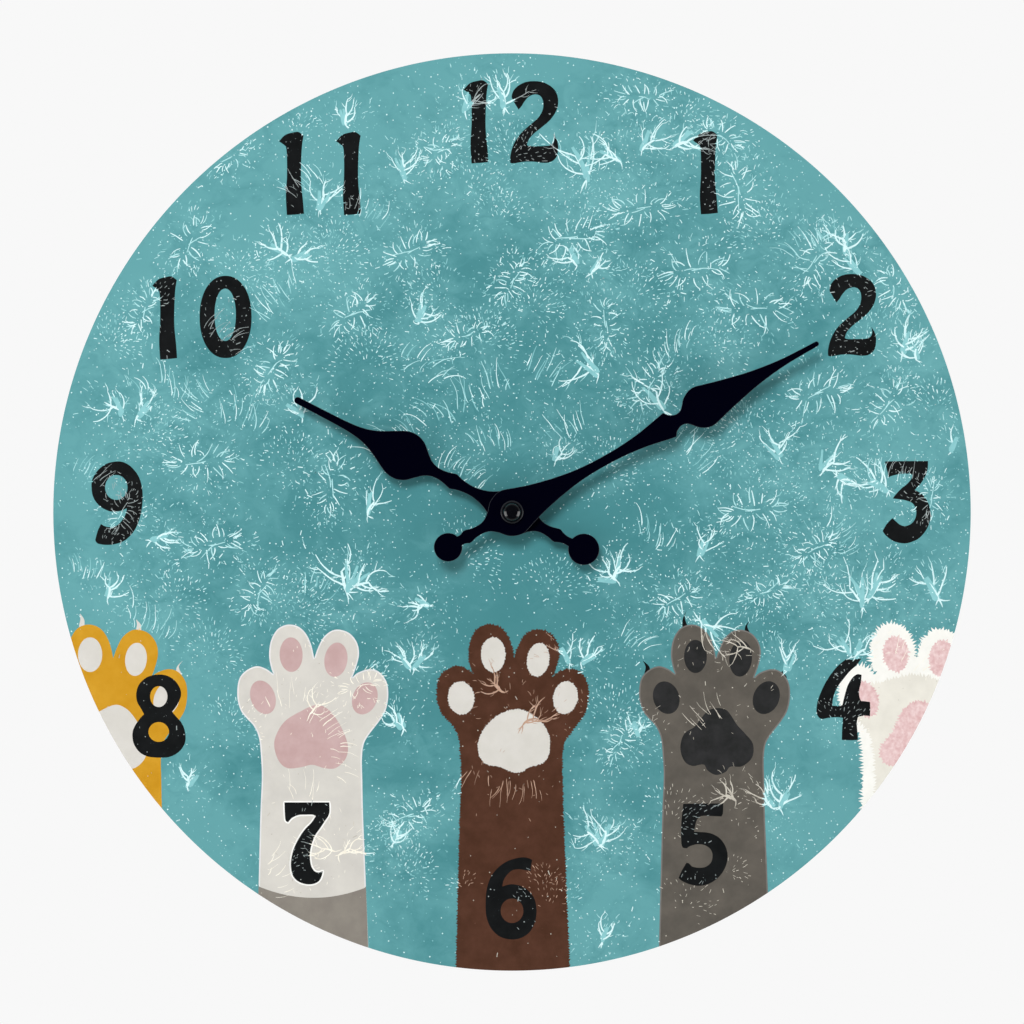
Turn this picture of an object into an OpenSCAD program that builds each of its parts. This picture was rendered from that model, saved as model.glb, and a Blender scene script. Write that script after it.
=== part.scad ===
// Frameless round wall clock: a printed disc on a fibreboard, carried by the threaded
// stem of a square quartz movement that hangs on a nail. Every module is drawn with X to the
// right, Y up and Z towards the viewer, with Z = 0 on the wall and the hands' axis at X = Y = 0;
// upright() then stands it up, so that the dial faces -Y and +Z is up.

/* [Dial] */
// Diameter of the dial
dial_d = 254; // [200:1:360]
// Thickness of the fibreboard disc
board_t = 4; // [3:0.5:6]
// Thickness of the printed face sheet
print_t = 0.25; // [0.1:0.05:0.4]

/* [Movement] */
// Width and height of the movement case
case_w = 56; // [56:1:60]
// Depth of the movement case
case_t = 16.5; // [16.5:0.1:17.5]
// Wall thickness of the case
wall = 1.2; // [1:0.1:1.4]
// Height of the case above the hands' axis
case_top = 22; // [22:0.5:24]
// Diameter of the threaded stem
stem_d = 7.8; // [7.6:0.1:8]

/* [Hands] */
// Length of the minute hand from its axis
minute_l = 96; // [90:1:110]
// Length of the hour hand from its axis
hour_l = 67.4; // [60:0.1:75]
// Clock angle of the minute hand, in degrees from 12
minute_deg = 61.1; // [0:0.1:359.9]
// Clock angle of the hour hand, in degrees from 12
hour_deg = 297.5; // [0:0.1:359.9]
// Thickness of both hands
hand_t = 0.5; // [0.3:0.1:0.6]

/* [Gears] */
// Module of the fast wheels, in millimetres
fast_m = 0.26; // [0.25:0.01:0.26]
// Module of the motion work, in millimetres
motion_m = 0.32; // [0.32:0.01:0.33]
// Pressure angle of all teeth, in degrees
press_deg = 25; // [22:1:28]
// Thinning of each tooth flank for backlash, in millimetres
thin = 0.03; // [0.02:0.01:0.04]

/* [Hidden] */
$fn = 64;

// clearances
run_gap = 0.05;
seat_gap = 0.02;
slack = 0.2;
cut = 1;

// planes of the stack in front of the movement
hanger_t = 0.8;
rubber_t = 0.7;
washer_t = 0.5;
nut_t = 2.2;
z_board = case_t + hanger_t + rubber_t;
z_print = z_board + board_t;
z_washer = z_print + print_t;
z_nut = z_washer + washer_t;
z_stem_end = z_nut + nut_t + 0.65;
z_hour_hand = z_stem_end + 0.8;
z_hour_tube = z_hour_hand + hand_t + 0.2;
z_minute_hand = z_hour_hand + hand_t + 2.1;
z_cap = z_minute_hand + hand_t;
cap_h = 3.1;

// radii on the hands' axis
seconds_r = 0.45;
spindle_r = 1.3;
minute_r = 1.8;
hour_tube_in = minute_r + run_gap;
hour_tube_out = 2.55;
stem_bore_r = hour_tube_out + run_gap;
stem_r = stem_d / 2;
thread_r = 1.5;
flat_r = 1.7;
flat_half = 1.4;
cap_r = 3.1;

// movement case
case_half = case_w / 2;
case_low = case_top - case_w;
front_in = case_t - wall;
cover_t = 1.5;
corner_r = 3;
bay_h = 15.1;
bay_low = case_low + wall;
bay_high = bay_low + bay_h;
split_y = bay_high + wall / 2;
train_low = bay_high + wall;
train_high = case_top - wall;
inner_half = case_half - wall;

// battery, size AA
cell_r = 7.1;
cell_body = 49.2;
cell_nub = 1.3;
cell_nub_r = 2.7;
cell_x = -24.9;
cell_y = bay_low + bay_h / 2;
cell_z = 7.9;

// gear teeth
addendum = 0.85;
dedendum = 1.1;
flank_steps = 3;
root_share = 0.75;
rotor_n = 8;
intermediate_n = 40;
leaf_n = 8;
seconds_n = 48;
third_n = 60;
centre_n = 64;
cannon_n = 15;
setting_n = 45;
setting_leaf_n = 12;
hour_n = 48;

// gear centres
third_m = fast_m * (centre_n + leaf_n) / (third_n + leaf_n);
third_deg = 60;
intermediate_deg = -20;
setting_deg = 150;
third_at = polar(fast_m * (centre_n + leaf_n) / 2, third_deg);
intermediate_at = polar(fast_m * (seconds_n + leaf_n) / 2, intermediate_deg);
rotor_at = polar(
    fast_m * (seconds_n + leaf_n + intermediate_n + rotor_n) / 2, intermediate_deg);
setting_at = polar(motion_m * (cannon_n + setting_n) / 2, setting_deg);

// levels of the train, rear to front
plate_z = 4;
plate_t = 0.8;
z_intermediate = 5.4;
z_seconds = 6.7;
z_third = 8.2;
z_centre = 9.8;
z_setting = 11.6;
z_hour = 13.2;
wheel_t = 0.7;
pinion_t = 1.2;
post_r = 2;
post_at = [[-14, -12.5], [-14, 17], [11.5, 18], [3, -13.2]];
pivot_r = 0.3;
pivot_gap = 0.05;

// setting knob
knob_r = 6.8;
knob_z = 0.5;
knob_t = 1.7;
well_r = knob_r + 0.6;
well_wall = 0.8;
well_z = 3;
shaft_r = 0.8;

// motor
magnet_r = 2.4;
magnet_t = 2.8;
stator_z = 9.1;
stator_t = 1;
stator_hole_r = 2.9;
stator_ring_r = 4.5;
core_t = 0.8;
coil_x = 21.2;
coil_low = -8;
coil_high = 14;
core_low = -11.2;
core_high = 17;
core_w = 2;
coil_z = stator_z + stator_t + core_t / 2;
flange_w = 7.4;
flange_t = 0.8;
winding_r = 3.3;
screw_r = 0.8;
stator_screw_y = [-10, 15.9];

// circuit board
board_x = 15.2;
board_low = -15.3;
board_high = 19.4;
board_z = 3.9;
pcb_t = 1;
peg_at = [[24.6, 18], [17.3, -13.4]];
peg_r = 0.7;

// hanger
hanger_w = 20;
hanger_low = -9;
hanger_y = case_top + 0.4;
hanger_top = 38;
hanger_z = 8;
key_y = 28;
key_r = 4;
key_slot_r = 1.8;
key_slot_y = 33;

function polar(r, deg) = [r * cos(deg), r * sin(deg)];

// Involute of an angle, in degrees.
function involute(deg) = tan(deg) * 180 / PI - deg;

// Half a tooth's angle at radius rho, straight and narrowing below the base circle.
function tooth_half(n, m, rho) =
    let (
        r = n * m / 2,
        rb = r * cos(press_deg),
        rf = r - dedendum * m,
        at_pitch = 90 / n - thin / r * 180 / PI,
        base = at_pitch + involute(press_deg),
        share = rb > rf ? (rho - rf) / (rb - rf) : 1
    )
    rho <= rb
        ? base * (root_share + (1 - root_share) * share)
        : base - involute(acos(rb / rho));

// The radii at which one flank is drawn, from root to tip.
function flank_radii(n, m) =
    let (
        r = n * m / 2,
        rb = r * cos(press_deg),
        rf = r - dedendum * m,
        low = max(rb, rf),
        tip = r + addendum * m
    )
    concat(rb > rf ? [rf] : [], [for (i = [0:flank_steps]) low + (tip - low) * i / flank_steps]);

// Outline of a gear of n teeth with one tooth's middle at angle phase.
function gear_points(n, m, phase) =
    let (radii = flank_radii(n, m), last = len(radii) - 1)
    [
        for (k = [0:n - 1])
            each concat(
                [for (i = [0:last]) polar(radii[i], phase + 360 * k / n - tooth_half(n, m, radii[i]))],
                [for (i = [last:-1:0]) polar(radii[i], phase + 360 * k / n + tooth_half(n, m, radii[i]))]
            )
    ];

// Phase of gear b so that it meshes with gear a, whose centre sees b's in direction deg.
function mesh_phase(a_phase, a_n, b_n, deg) =
    deg + 180 - (a_phase - deg) * a_n / b_n + 180 / b_n;

seconds_phase = mesh_phase(0, leaf_n, seconds_n, intermediate_deg + 180);
rotor_phase = mesh_phase(0, intermediate_n, rotor_n, intermediate_deg);
third_phase = mesh_phase(0, leaf_n, third_n, third_deg);
centre_phase = mesh_phase(0, leaf_n, centre_n, third_deg + 180);
setting_phase = mesh_phase(0, cannon_n, setting_n, setting_deg);
hour_phase = mesh_phase(0, setting_leaf_n, hour_n, setting_deg + 180);

module upright() {
    rotate([90, 0, 0]) children();
}

module at(spot, z = 0) {
    translate([spot[0], spot[1], z]) children();
}

module gear(n, m, phase, t) {
    linear_extrude(t) polygon(gear_points(n, m, phase));
}

module rod(r, z0, z1) {
    translate([0, 0, z0]) cylinder(h = z1 - z0, r = r);
}

module ring(r_out, r_in, z0, z1) {
    difference() {
        rod(r_out, z0, z1);
        rod(r_in, z0 - cut, z1 + cut);
    }
}

// Rectangle from [x0, y0] to [x1, y1] with round corners.
module round_rect(x0, y0, x1, y1, r) {
    translate([x0 + r, y0]) square([x1 - x0 - 2 * r, y1 - y0]);
    translate([x0, y0 + r]) square([x1 - x0, y1 - y0 - 2 * r]);
    for (x = [x0 + r, x1 - r], y = [y0 + r, y1 - r])
        translate([x, y]) circle(r);
}

module block(x0, y0, z0, x1, y1, z1) {
    translate([x0, y0, z0]) cube([x1 - x0, y1 - y0, z1 - z0]);
}

// Catmull-Rom value between p1 and p2 at share t.
function spline(p0, p1, p2, p3, t) =
    0.5 * (2 * p1 + (p2 - p0) * t + (2 * p0 - 5 * p1 + 4 * p2 - p3) * t * t
        + (3 * p1 - p0 - 3 * p2 + p3) * t * t * t);

// A smooth run through the given [along, half width] stations.
function smooth(stations, steps) =
    let (last = len(stations) - 1)
    concat(
        [
            for (i = [0:last - 1], j = [0:steps - 1])
                spline(stations[max(i - 1, 0)], stations[i], stations[i + 1],
                    stations[min(i + 2, last)], j / steps)
        ],
        [stations[last]]
    );

// Points of an arc about [x, 0], from angle a0 to a1.
function arc(x, r, a0, a1, steps) =
    [for (i = [0:steps]) [x + r * cos(a0 + (a1 - a0) * i / steps), r * sin(a0 + (a1 - a0) * i / steps)]];

// A hand's outline along +X, from its ball, over collar, hub and bulb, to its tip. Each run
// of stations is smooth in itself, and meets the next one in a crisp corner.
function hand_points(ball_x, ball_r, runs, tip_x, tip_r) =
    let (
        neck = runs[0][0],
        side = concat(
            arc(ball_x, ball_r, 180, asin(neck[1] / ball_r), 20),
            [for (run = runs) each smooth(run, 4)],
            arc(tip_x - tip_r, tip_r, 90, 0, 6)
        )
    )
    concat(side, [for (i = [len(side) - 2:-1:1]) [side[i][0], -side[i][1]]]);

minute_runs = [
    [[-16.4, 1.4], [-15.4, 1.4], [-14.3, 1.9]],
    [[-13.4, 1.85], [-11.8, 1.4], [-9.4, 1.35], [-7.6, 1.9], [-5.8, 3.3]],
    [[-5.6, 3.5], [-4, 5.25], [-2, 6.3], [0, 6.6], [2, 6.1], [4, 5.4], [8, 4.15], [14, 2.75],
        [21, 1.65], [28, 1.3], [35, 1.5], [41, 2.15], [46, 3.1], [49.3, 3.75]],
    [[49.6, 3.5], [50.4, 2.5], [52, 1.75], [53.6, 1.95], [54.8, 3], [56, 4.4], [58, 5.6],
        [60.2, 5.9], [63, 5.2], [68, 3.9], [76, 2.15], [84, 1.1], [90, 0.8], [minute_l - 0.7, 0.7]]
];

hour_runs = [
    [[-18.1, 1.2], [-16.6, 1.15], [-15.2, 1.5], [-14.2, 1.95]],
    [[-13.4, 1.9], [-11.8, 1.5], [-9.6, 1.4], [-7.8, 1.9], [-6.2, 3]],
    [[-6, 3.3], [-4, 5.1], [-2, 6.1], [0, 6.4], [2, 5.9], [4, 4.7], [6, 3.3], [8.5, 2.1],
        [11.5, 1.4], [14, 1.35], [16.4, 1.7], [18.2, 2.25]],
    [[18.8, 2.1], [20.8, 1.6], [22.6, 1.4], [24.4, 1.6], [26.2, 2.4], [28, 3.9], [30, 5.7],
        [32, 6.6], [34, 6.8], [36.2, 6.3], [38.4, 5.2], [41, 3.75], [44, 2.4], [47, 1.6],
        [51, 1.15], [58, 1], [hour_l - 0.95, 0.95]]
];

module hour_outline() {
    polygon(hand_points(-22.25, 4.3, hour_runs, hour_l, 0.95));
}

module minute_outline() {
    polygon(hand_points(-20, 3.9, minute_runs, minute_l, 0.7));
}

// ---- dial ----

module dial_board() {
    color("burlywood") upright()
        ring(dial_d / 2, stem_r + 0.3, z_board, z_print);
}

module dial_print() {
    color("cadetblue") upright()
        ring(dial_d / 2, stem_r + 0.3, z_print, z_washer);
}

// ---- stack that clamps the dial to the movement ----

module keyhole() {
    translate([0, key_y]) circle(key_r);
    translate([0, key_slot_y]) circle(key_slot_r);
    translate([-key_slot_r, key_y]) square([2 * key_slot_r, key_slot_y - key_y]);
}

module hanger_plate() {
    half = hanger_w / 2;
    color("silver") upright() {
        translate([0, 0, case_t]) linear_extrude(hanger_t) difference() {
            translate([-half, hanger_low]) square([hanger_w, hanger_y + hanger_t - hanger_low]);
            circle(stem_r + 0.2);
        }
        block(-half, hanger_y, hanger_z, half, hanger_y + hanger_t, case_t);
        translate([0, 0, hanger_z]) linear_extrude(hanger_t) difference() {
            union() {
                translate([-half, hanger_y]) square([hanger_w, hanger_top - corner_r - hanger_y]);
                round_rect(-half, hanger_top - 3 * corner_r, half, hanger_top, corner_r);
            }
            keyhole();
        }
    }
}

module rubber_washer() {
    color("dimgray") upright()
        ring(11, stem_r + 0.1, case_t + hanger_t, z_board);
}

module stem_washer() {
    color("goldenrod") upright()
        ring(6.3, stem_r + 0.1, z_washer, z_nut);
}

module stem_nut() {
    color("goldenrod") upright() translate([0, 0, z_nut])
        linear_extrude(nut_t) difference() {
            circle(6.06, $fn = 6);
            circle(stem_r + seat_gap);
        }
}

module threaded_stem() {
    color("goldenrod") upright() difference() {
        union() {
            rod(5.5, front_in - 0.8, front_in);
            rod(stem_r, front_in - 0.1, z_stem_end);
        }
        rod(stem_bore_r, 0, z_stem_end + cut);
    }
}

// ---- movement case ----

module case_posts() {
    for (p = post_at) at(p) ring(post_r, screw_r + seat_gap, plate_z + plate_t, front_in + 0.1);
    for (y = stator_screw_y)
        at([coil_x, y]) ring(1.5, screw_r + seat_gap, stator_z + stator_t + core_t, front_in + 0.1);
    at(rotor_at) ring(1.5, pivot_r + pivot_gap, 12.5, front_in + 0.1);
    at(third_at) ring(1.2, pivot_r + pivot_gap, 12.4, front_in + 0.1);
    at(setting_at) ring(1.5, 0.45 + pivot_gap, 14.5, front_in + 0.1);
    for (p = peg_at) at(p) {
        rod(1.2, board_z + pcb_t, front_in + 0.1);
        rod(peg_r, board_z - 0.4, board_z + pcb_t + 0.1);
    }
}

module front_case() {
    contact_slot = 0.3;
    color("#26282b") upright() {
        difference() {
            union() {
                translate([0, 0, cover_t]) linear_extrude(case_t - cover_t)
                    round_rect(-case_half, case_low, case_half, case_top, corner_r);
                linear_extrude(case_t - cover_t) union() {
                    round_rect(-case_half, case_low, case_half, split_y, corner_r);
                    translate([-case_half, split_y - corner_r]) square([case_w, corner_r]);
                }
            }
            block(-inner_half, train_low, -cut, inner_half, train_high, front_in);
            block(-inner_half, bay_low, -cut, inner_half, bay_high, front_in);
            rod(stem_r + seat_gap, 0, case_t + cut);
            // thumb notch for pushing the battery out
            translate([0, case_low - cut, 0]) rotate([-90, 0, 0]) cylinder(h = wall + 2 * cut, r = 7);
            // ways through the partition for the two battery contacts
            for (s = [-1, 1])
                block(s * (inner_half - contact_slot) - contact_slot, bay_high - cut, 4.8,
                    s * (inner_half - contact_slot) + contact_slot, train_low + cut, 8.2);
        }
        case_posts();
    }
}

module rear_cover() {
    lip = 1;
    color("#26282b") upright() difference() {
        union() {
            linear_extrude(cover_t) union() {
                round_rect(-case_half, split_y, case_half, case_top, corner_r);
                translate([-case_half, split_y]) square([case_w, corner_r]);
            }
            translate([0, 0, cover_t - 0.1]) linear_extrude(1.2) difference() {
                translate([-inner_half + slack, train_low + slack])
                    square([2 * (inner_half - slack), train_high - train_low - 2 * slack]);
                translate([-inner_half + slack + lip, train_low + slack + lip])
                    square([2 * (inner_half - slack - lip), train_high - train_low - 2 * (slack + lip)]);
            }
            at(setting_at) rod(well_r + well_wall, 0, well_z + well_wall - 0.1);
        }
        at(setting_at) rod(well_r, -cut, well_z);
        at(setting_at) rod(shaft_r + 0.3, 0, well_z + 2);
    }
}

// ---- train plate and fixed pieces inside ----

module train_plate() {
    color("ivory") upright() difference() {
        translate([0, 0, plate_z]) linear_extrude(plate_t) difference() {
            round_rect(-17, -15.3, 14.6, 20.2, 2);
            for (p = post_at) translate(p) circle(screw_r + 0.1);
            translate(setting_at) circle(shaft_r + 0.06);
            circle(seconds_r + pivot_gap);
            translate(third_at) circle(pivot_r + pivot_gap);
            translate(rotor_at) circle(pivot_r + pivot_gap);
            translate(intermediate_at) circle(0.4);
        }
    }
}

module screw(r, head_r, head_t, z_head, length) {
    rod(head_r, z_head, z_head + head_t);
    rod(r, z_head + head_t - 0.1, z_head + head_t + length);
}

module plate_screws() {
    color("lightgray") upright() for (p = post_at)
        at(p) difference() {
            screw(screw_r, 1.5, 0.8, plate_z - 0.8, 5);
            block(-2, -0.2, 0, 2, 0.2, plate_z - 0.4);
            block(-0.2, -2, 0, 0.2, 2, plate_z - 0.4);
        }
}

module intermediate_pin() {
    color("lightgray") upright() at(intermediate_at) {
        rod(0.4, plate_z, z_seconds + 1.35);
        rod(0.75, plate_z + plate_t, z_intermediate - 0.1);
        rod(0.7, z_seconds + 1, z_seconds + 1.35);
    }
}

module circuit_board() {
    color("darkgreen") upright() translate([0, 0, board_z]) linear_extrude(pcb_t) difference() {
        translate([board_x, board_low]) square([26.3 - board_x, board_high - board_low]);
        for (p = peg_at) translate(p) circle(peg_r + 0.1);
        for (x = [-2.6, 2.6]) translate([coil_x + x, coil_low + flange_t / 2]) circle(0.35);
    }
}

module clock_chip() {
    color("black") upright() translate([20, -3, board_z])
        rotate([180, 0, 0]) rotate_extrude()
            polygon(concat([[0, 0], [2.4, 0]], [for (a = [15:15:75]) [2.4 * cos(a), 0.9 * sin(a)]], [[0, 0.9]]));
}

module quartz_crystal() {
    color("silver") upright() translate([18.4, 4, board_z - 1.05]) rotate([-90, 0, 0]) {
        cylinder(h = 6, r = 1);
        for (x = [-0.4, 0.4]) translate([x, 0, -2.2]) cylinder(h = 2.3, r = 0.15);
    }
}

module coil_bobbin() {
    tube_w = core_w + 1.6;
    tube_t = core_t + 1.6;
    color("ivory") upright() {
        difference() {
            union() {
                for (y = [coil_low, coil_high - flange_t])
                    block(coil_x - flange_w / 2, y, coil_z - flange_w / 2,
                        coil_x + flange_w / 2, y + flange_t, coil_z + flange_w / 2);
                block(coil_x - tube_w / 2, coil_low, coil_z - tube_t / 2,
                    coil_x + tube_w / 2, coil_high, coil_z + tube_t / 2);
            }
            block(coil_x - core_w / 2 - seat_gap, coil_low - cut, coil_z - core_t / 2 - seat_gap,
                coil_x + core_w / 2 + seat_gap, coil_high + cut, coil_z + core_t / 2 + seat_gap);
        }
        for (x = [-2.6, 2.6]) at([coil_x + x, coil_low + flange_t / 2])
            rod(0.3, board_z - 0.4, coil_z - flange_w / 2 + 0.1);
    }
}

module coil_winding() {
    tube_w = core_w + 1.6 + 2 * seat_gap;
    tube_t = core_t + 1.6 + 2 * seat_gap;
    color("chocolate") upright() difference() {
        translate([coil_x, coil_low + flange_t + seat_gap, coil_z]) rotate([-90, 0, 0])
            cylinder(h = coil_high - coil_low - 2 * (flange_t + seat_gap), r = winding_r);
        block(coil_x - tube_w / 2, coil_low - cut, coil_z - tube_t / 2,
            coil_x + tube_w / 2, coil_high + cut, coil_z + tube_t / 2);
    }
}

module coil_core() {
    color("gray") upright() translate([0, 0, stator_z + stator_t])
        linear_extrude(core_t) difference() {
            union() {
                translate([coil_x - core_w / 2, core_low]) square([core_w, core_high - core_low]);
                for (y = stator_screw_y) translate([coil_x, y]) circle(1.4);
            }
            for (y = stator_screw_y) translate([coil_x, y]) circle(screw_r + seat_gap);
        }
}

module stator() {
    color("gray") upright() translate([0, 0, stator_z]) linear_extrude(stator_t) difference() {
        union() {
            translate(rotor_at) circle(stator_ring_r);
            translate([rotor_at[0], core_low]) square([coil_x + 1.4 - rotor_at[0], 2.6]);
            translate([rotor_at[0] - 1, core_low]) square([3, 4]);
            translate([14.9, rotor_at[1]]) square([2.3, core_high - rotor_at[1]]);
            translate([14.9, core_high - 2.4]) square([coil_x + 1.4 - 14.9, 2.4]);
        }
        translate(rotor_at) circle(stator_hole_r);
        for (y = stator_screw_y) translate([coil_x, y]) circle(screw_r + seat_gap);
    }
}

module stator_screws() {
    color("lightgray") upright() for (y = stator_screw_y)
        at([coil_x, y]) screw(screw_r, 1.35, 0.7, stator_z - 0.7, 4);
}

// ---- battery and contacts ----

module contact_positive() {
    x0 = inner_half - 0.35;
    color("silver") upright() {
        block(x0, bay_low + 1.5, 3.5, x0 + 0.3, bay_high - 0.5, 12);
        translate([x0 + 0.1, cell_y, cell_z]) rotate([0, -90, 0]) cylinder(h = 0.9, r1 = 2, r2 = 1.2);
        block(x0, bay_high - 0.6, 5, x0 + 0.3, train_low + 3.5, 8);
        block(23, train_low + 1.5, board_z + pcb_t, x0 + 0.3, train_low + 3.5, 5.2);
    }
}

module contact_negative() {
    x0 = -inner_half + 0.05;
    color("silver") upright() {
        block(x0, bay_low + 1.5, 3.5, x0 + 0.3, bay_high - 0.5, 12);
        translate([0, 0, cell_z - 2]) linear_extrude(4)
            polygon([[x0, cell_y - 5], [x0 + 0.3, cell_y - 5], [x0 + 1.8, cell_y], [x0 + 0.3, cell_y + 5],
                [x0, cell_y + 5], [x0, cell_y + 4.5], [x0 + 1.5, cell_y], [x0, cell_y - 4.5]]);
        block(x0, bay_high - 0.6, 5, x0 + 0.3, train_low + 0.6, 8);
        block(x0, train_low + 0.3, 5, 17, train_low + 0.6, 8);
        block(15.3, train_low + 0.3, board_z + pcb_t, 16, train_low + 2.2, 5.2);
    }
}

module battery() {
    color("darkseagreen") upright() translate([cell_x, cell_y, cell_z]) rotate([0, 90, 0]) {
        cylinder(h = cell_body, r = cell_r);
        translate([0, 0, cell_body - 0.1]) cylinder(h = cell_nub + 0.1, r = cell_nub_r);
    }
}

// ---- hands' axis ----

module hour_wheel() {
    color("white") upright() difference() {
        union() {
            translate([0, 0, z_hour]) gear(hour_n, motion_m, hour_phase, wheel_t);
            rod(3.4, z_hour - 0.3, z_hour + 1.1);
            rod(hour_tube_out, z_hour, z_hour_tube);
        }
        rod(hour_tube_in, 0, z_hour_tube + cut);
    }
}

module hour_hand() {
    color("#101012") upright() translate([0, 0, z_hour_hand]) linear_extrude(hand_t) difference() {
        rotate(90 - hour_deg) hour_outline();
        circle(hour_tube_out + seat_gap);
    }
}

module hour_hand_collet() {
    color("#101012") upright()
        ring(3.6, hour_tube_out + seat_gap, z_hour_hand - 0.6, z_hour_hand);
}

module minute_arbor() {
    color("goldenrod") upright() difference() {
        union() {
            rod(spindle_r, z_centre - 0.65, z_setting);
            translate([0, 0, z_setting - 0.2]) gear(cannon_n, motion_m, 0, pinion_t);
            rod(minute_r, z_setting, z_minute_hand);
            intersection() {
                rod(flat_r, z_setting, z_cap);
                block(-2, -flat_half, z_setting, 2, flat_half, z_cap + 1);
            }
            rod(thread_r - 0.1, z_minute_hand, z_cap + 2.2);
        }
        rod(seconds_r + run_gap, 0, z_cap + 3);
    }
}

module minute_hand() {
    color("#101012") upright() translate([0, 0, z_minute_hand]) linear_extrude(hand_t) difference() {
        rotate(90 - minute_deg) minute_outline();
        intersection() {
            circle(flat_r + seat_gap);
            square([4, 2 * (flat_half + seat_gap)], center = true);
        }
    }
}

module cap_nut() {
    skirt = 1.1;
    color("black") upright() translate([0, 0, z_cap]) difference() {
        rotate_extrude() polygon(concat(
            [[0, 0], [cap_r, 0], [cap_r, skirt]],
            [for (a = [10:10:80]) [cap_r * cos(a), skirt + (cap_h - skirt) * sin(a)]],
            [[0, cap_h]]
        ));
        rod(thread_r - 0.08, -cut, 2.4);
    }
}

module centre_wheel() {
    color("white") upright() difference() {
        union() {
            translate([0, 0, z_centre]) gear(centre_n, fast_m, centre_phase, wheel_t);
            rod(2.6, z_centre, z_centre + wheel_t);
        }
        rod(spindle_r + run_gap, 0, z_centre + 2);
    }
}

module clutch_spring() {
    color("silver") upright() translate([0, 0, z_centre + wheel_t + 0.05]) linear_extrude(0.3)
        difference() {
            union() {
                circle(2);
                for (a = [90:120:330]) rotate(a) translate([0, -0.6]) square([4.6, 1.2]);
            }
            circle(spindle_r + seat_gap);
        }
}

module clutch_collar() {
    color("goldenrod") upright()
        ring(2.2, spindle_r + seat_gap, z_centre - 0.65, z_centre - 0.1);
}

// ---- fast wheels ----

module third_wheel() {
    color("white") upright() at(third_at) difference() {
        union() {
            translate([0, 0, z_third]) gear(third_n, third_m, third_phase, wheel_t);
            rod(1.6, z_third, z_third + wheel_t + 0.3);
            translate([0, 0, z_third + 0.2]) gear(leaf_n, fast_m, 0, z_centre + 1 - z_third - 0.2);
        }
        rod(0.4 + seat_gap, 0, z_centre + 3);
    }
}

module third_arbor() {
    color("lightgray") upright() at(third_at) {
        rod(0.4, plate_z + plate_t + 0.2, 12.2);
        rod(pivot_r, plate_z + 0.1, 13.4);
    }
}

module seconds_wheel() {
    color("white") upright() difference() {
        union() {
            translate([0, 0, z_seconds]) gear(seconds_n, fast_m, seconds_phase, wheel_t);
            translate([0, 0, z_seconds + 0.1]) gear(leaf_n, third_m, 0, 2.1);
        }
        rod(seconds_r + seat_gap, 0, z_third + 2);
    }
}

module seconds_arbor() {
    color("lightgray") upright() rod(seconds_r, plate_z + 0.1, z_cap + 2);
}

module intermediate_wheel() {
    color("white") upright() at(intermediate_at) difference() {
        union() {
            translate([0, 0, z_intermediate]) gear(intermediate_n, fast_m, 0, wheel_t);
            translate([0, 0, z_intermediate + 0.1])
                gear(leaf_n, fast_m, 0, z_seconds + 0.9 - z_intermediate - 0.1);
        }
        rod(0.4 + pivot_gap, 0, z_seconds + 3);
    }
}

module rotor_magnet() {
    color("dimgray") upright() at(rotor_at)
        ring(magnet_r, 0.5 + seat_gap, coil_z - magnet_t / 2 - 0.9, coil_z + magnet_t / 2 - 0.9);
}

module rotor_pinion() {
    color("white") upright() at(rotor_at) {
        rod(pivot_r, plate_z + 0.1, 14);
        rod(0.5, plate_z + plate_t + 0.15, 12.3);
        translate([0, 0, z_intermediate - 0.2]) gear(rotor_n, fast_m, rotor_phase, 1.1);
    }
}

// ---- hand setting ----

module setting_wheel() {
    color("white") upright() at(setting_at) {
        translate([0, 0, z_setting]) gear(setting_n, motion_m, setting_phase, wheel_t);
        translate([0, 0, z_setting + 0.1]) gear(setting_leaf_n, motion_m, 0, 2.5);
        rod(shaft_r, 1.1, z_setting + 0.1);
        rod(0.45, z_setting, 15);
    }
}

module setting_knob() {
    ribs = 24;
    color("#26282b") upright() at(setting_at) difference() {
        union() {
            rod(knob_r - 0.3, knob_z, knob_z + knob_t);
            for (i = [0:ribs - 1]) rotate(360 * i / ribs)
                block(knob_r - 0.6, -0.35, knob_z, knob_r, 0.35, knob_z + knob_t);
            rod(1.7, knob_z + knob_t - 0.1, knob_z + knob_t + 0.6);
        }
        rod(shaft_r + seat_gap, 1, 5);
        for (a = [0, 90]) rotate(a) block(-4, -0.5, 0, 4, 0.5, knob_z + 0.4);
    }
}

dial_board();
dial_print();
hanger_plate();
rubber_washer();
front_case();
rear_cover();
threaded_stem();
stem_washer();
stem_nut();
train_plate();
plate_screws();
intermediate_pin();
circuit_board();
clock_chip();
quartz_crystal();
coil_bobbin();
coil_winding();
coil_core();
stator();
stator_screws();
contact_positive();
contact_negative();
battery();
hour_wheel();
hour_hand();
hour_hand_collet();
minute_arbor();
minute_hand();
cap_nut();
centre_wheel();
clutch_spring();
clutch_collar();
third_wheel();
third_arbor();
seconds_wheel();
seconds_arbor();
intermediate_wheel();
rotor_magnet();
rotor_pinion();
setting_wheel();
setting_knob();
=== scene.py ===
"""Looks of a frameless round wall clock: its printed dial, leaf hands, cap and quartz movement."""

from __future__ import annotations

import logging
import math
import random
from collections.abc import Iterable, Sequence
from dataclasses import dataclass, field
from enum import Enum
from typing import ClassVar

import bmesh
import bpy
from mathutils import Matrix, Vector
from mathutils.geometry import delaunay_2d_cdt

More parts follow.
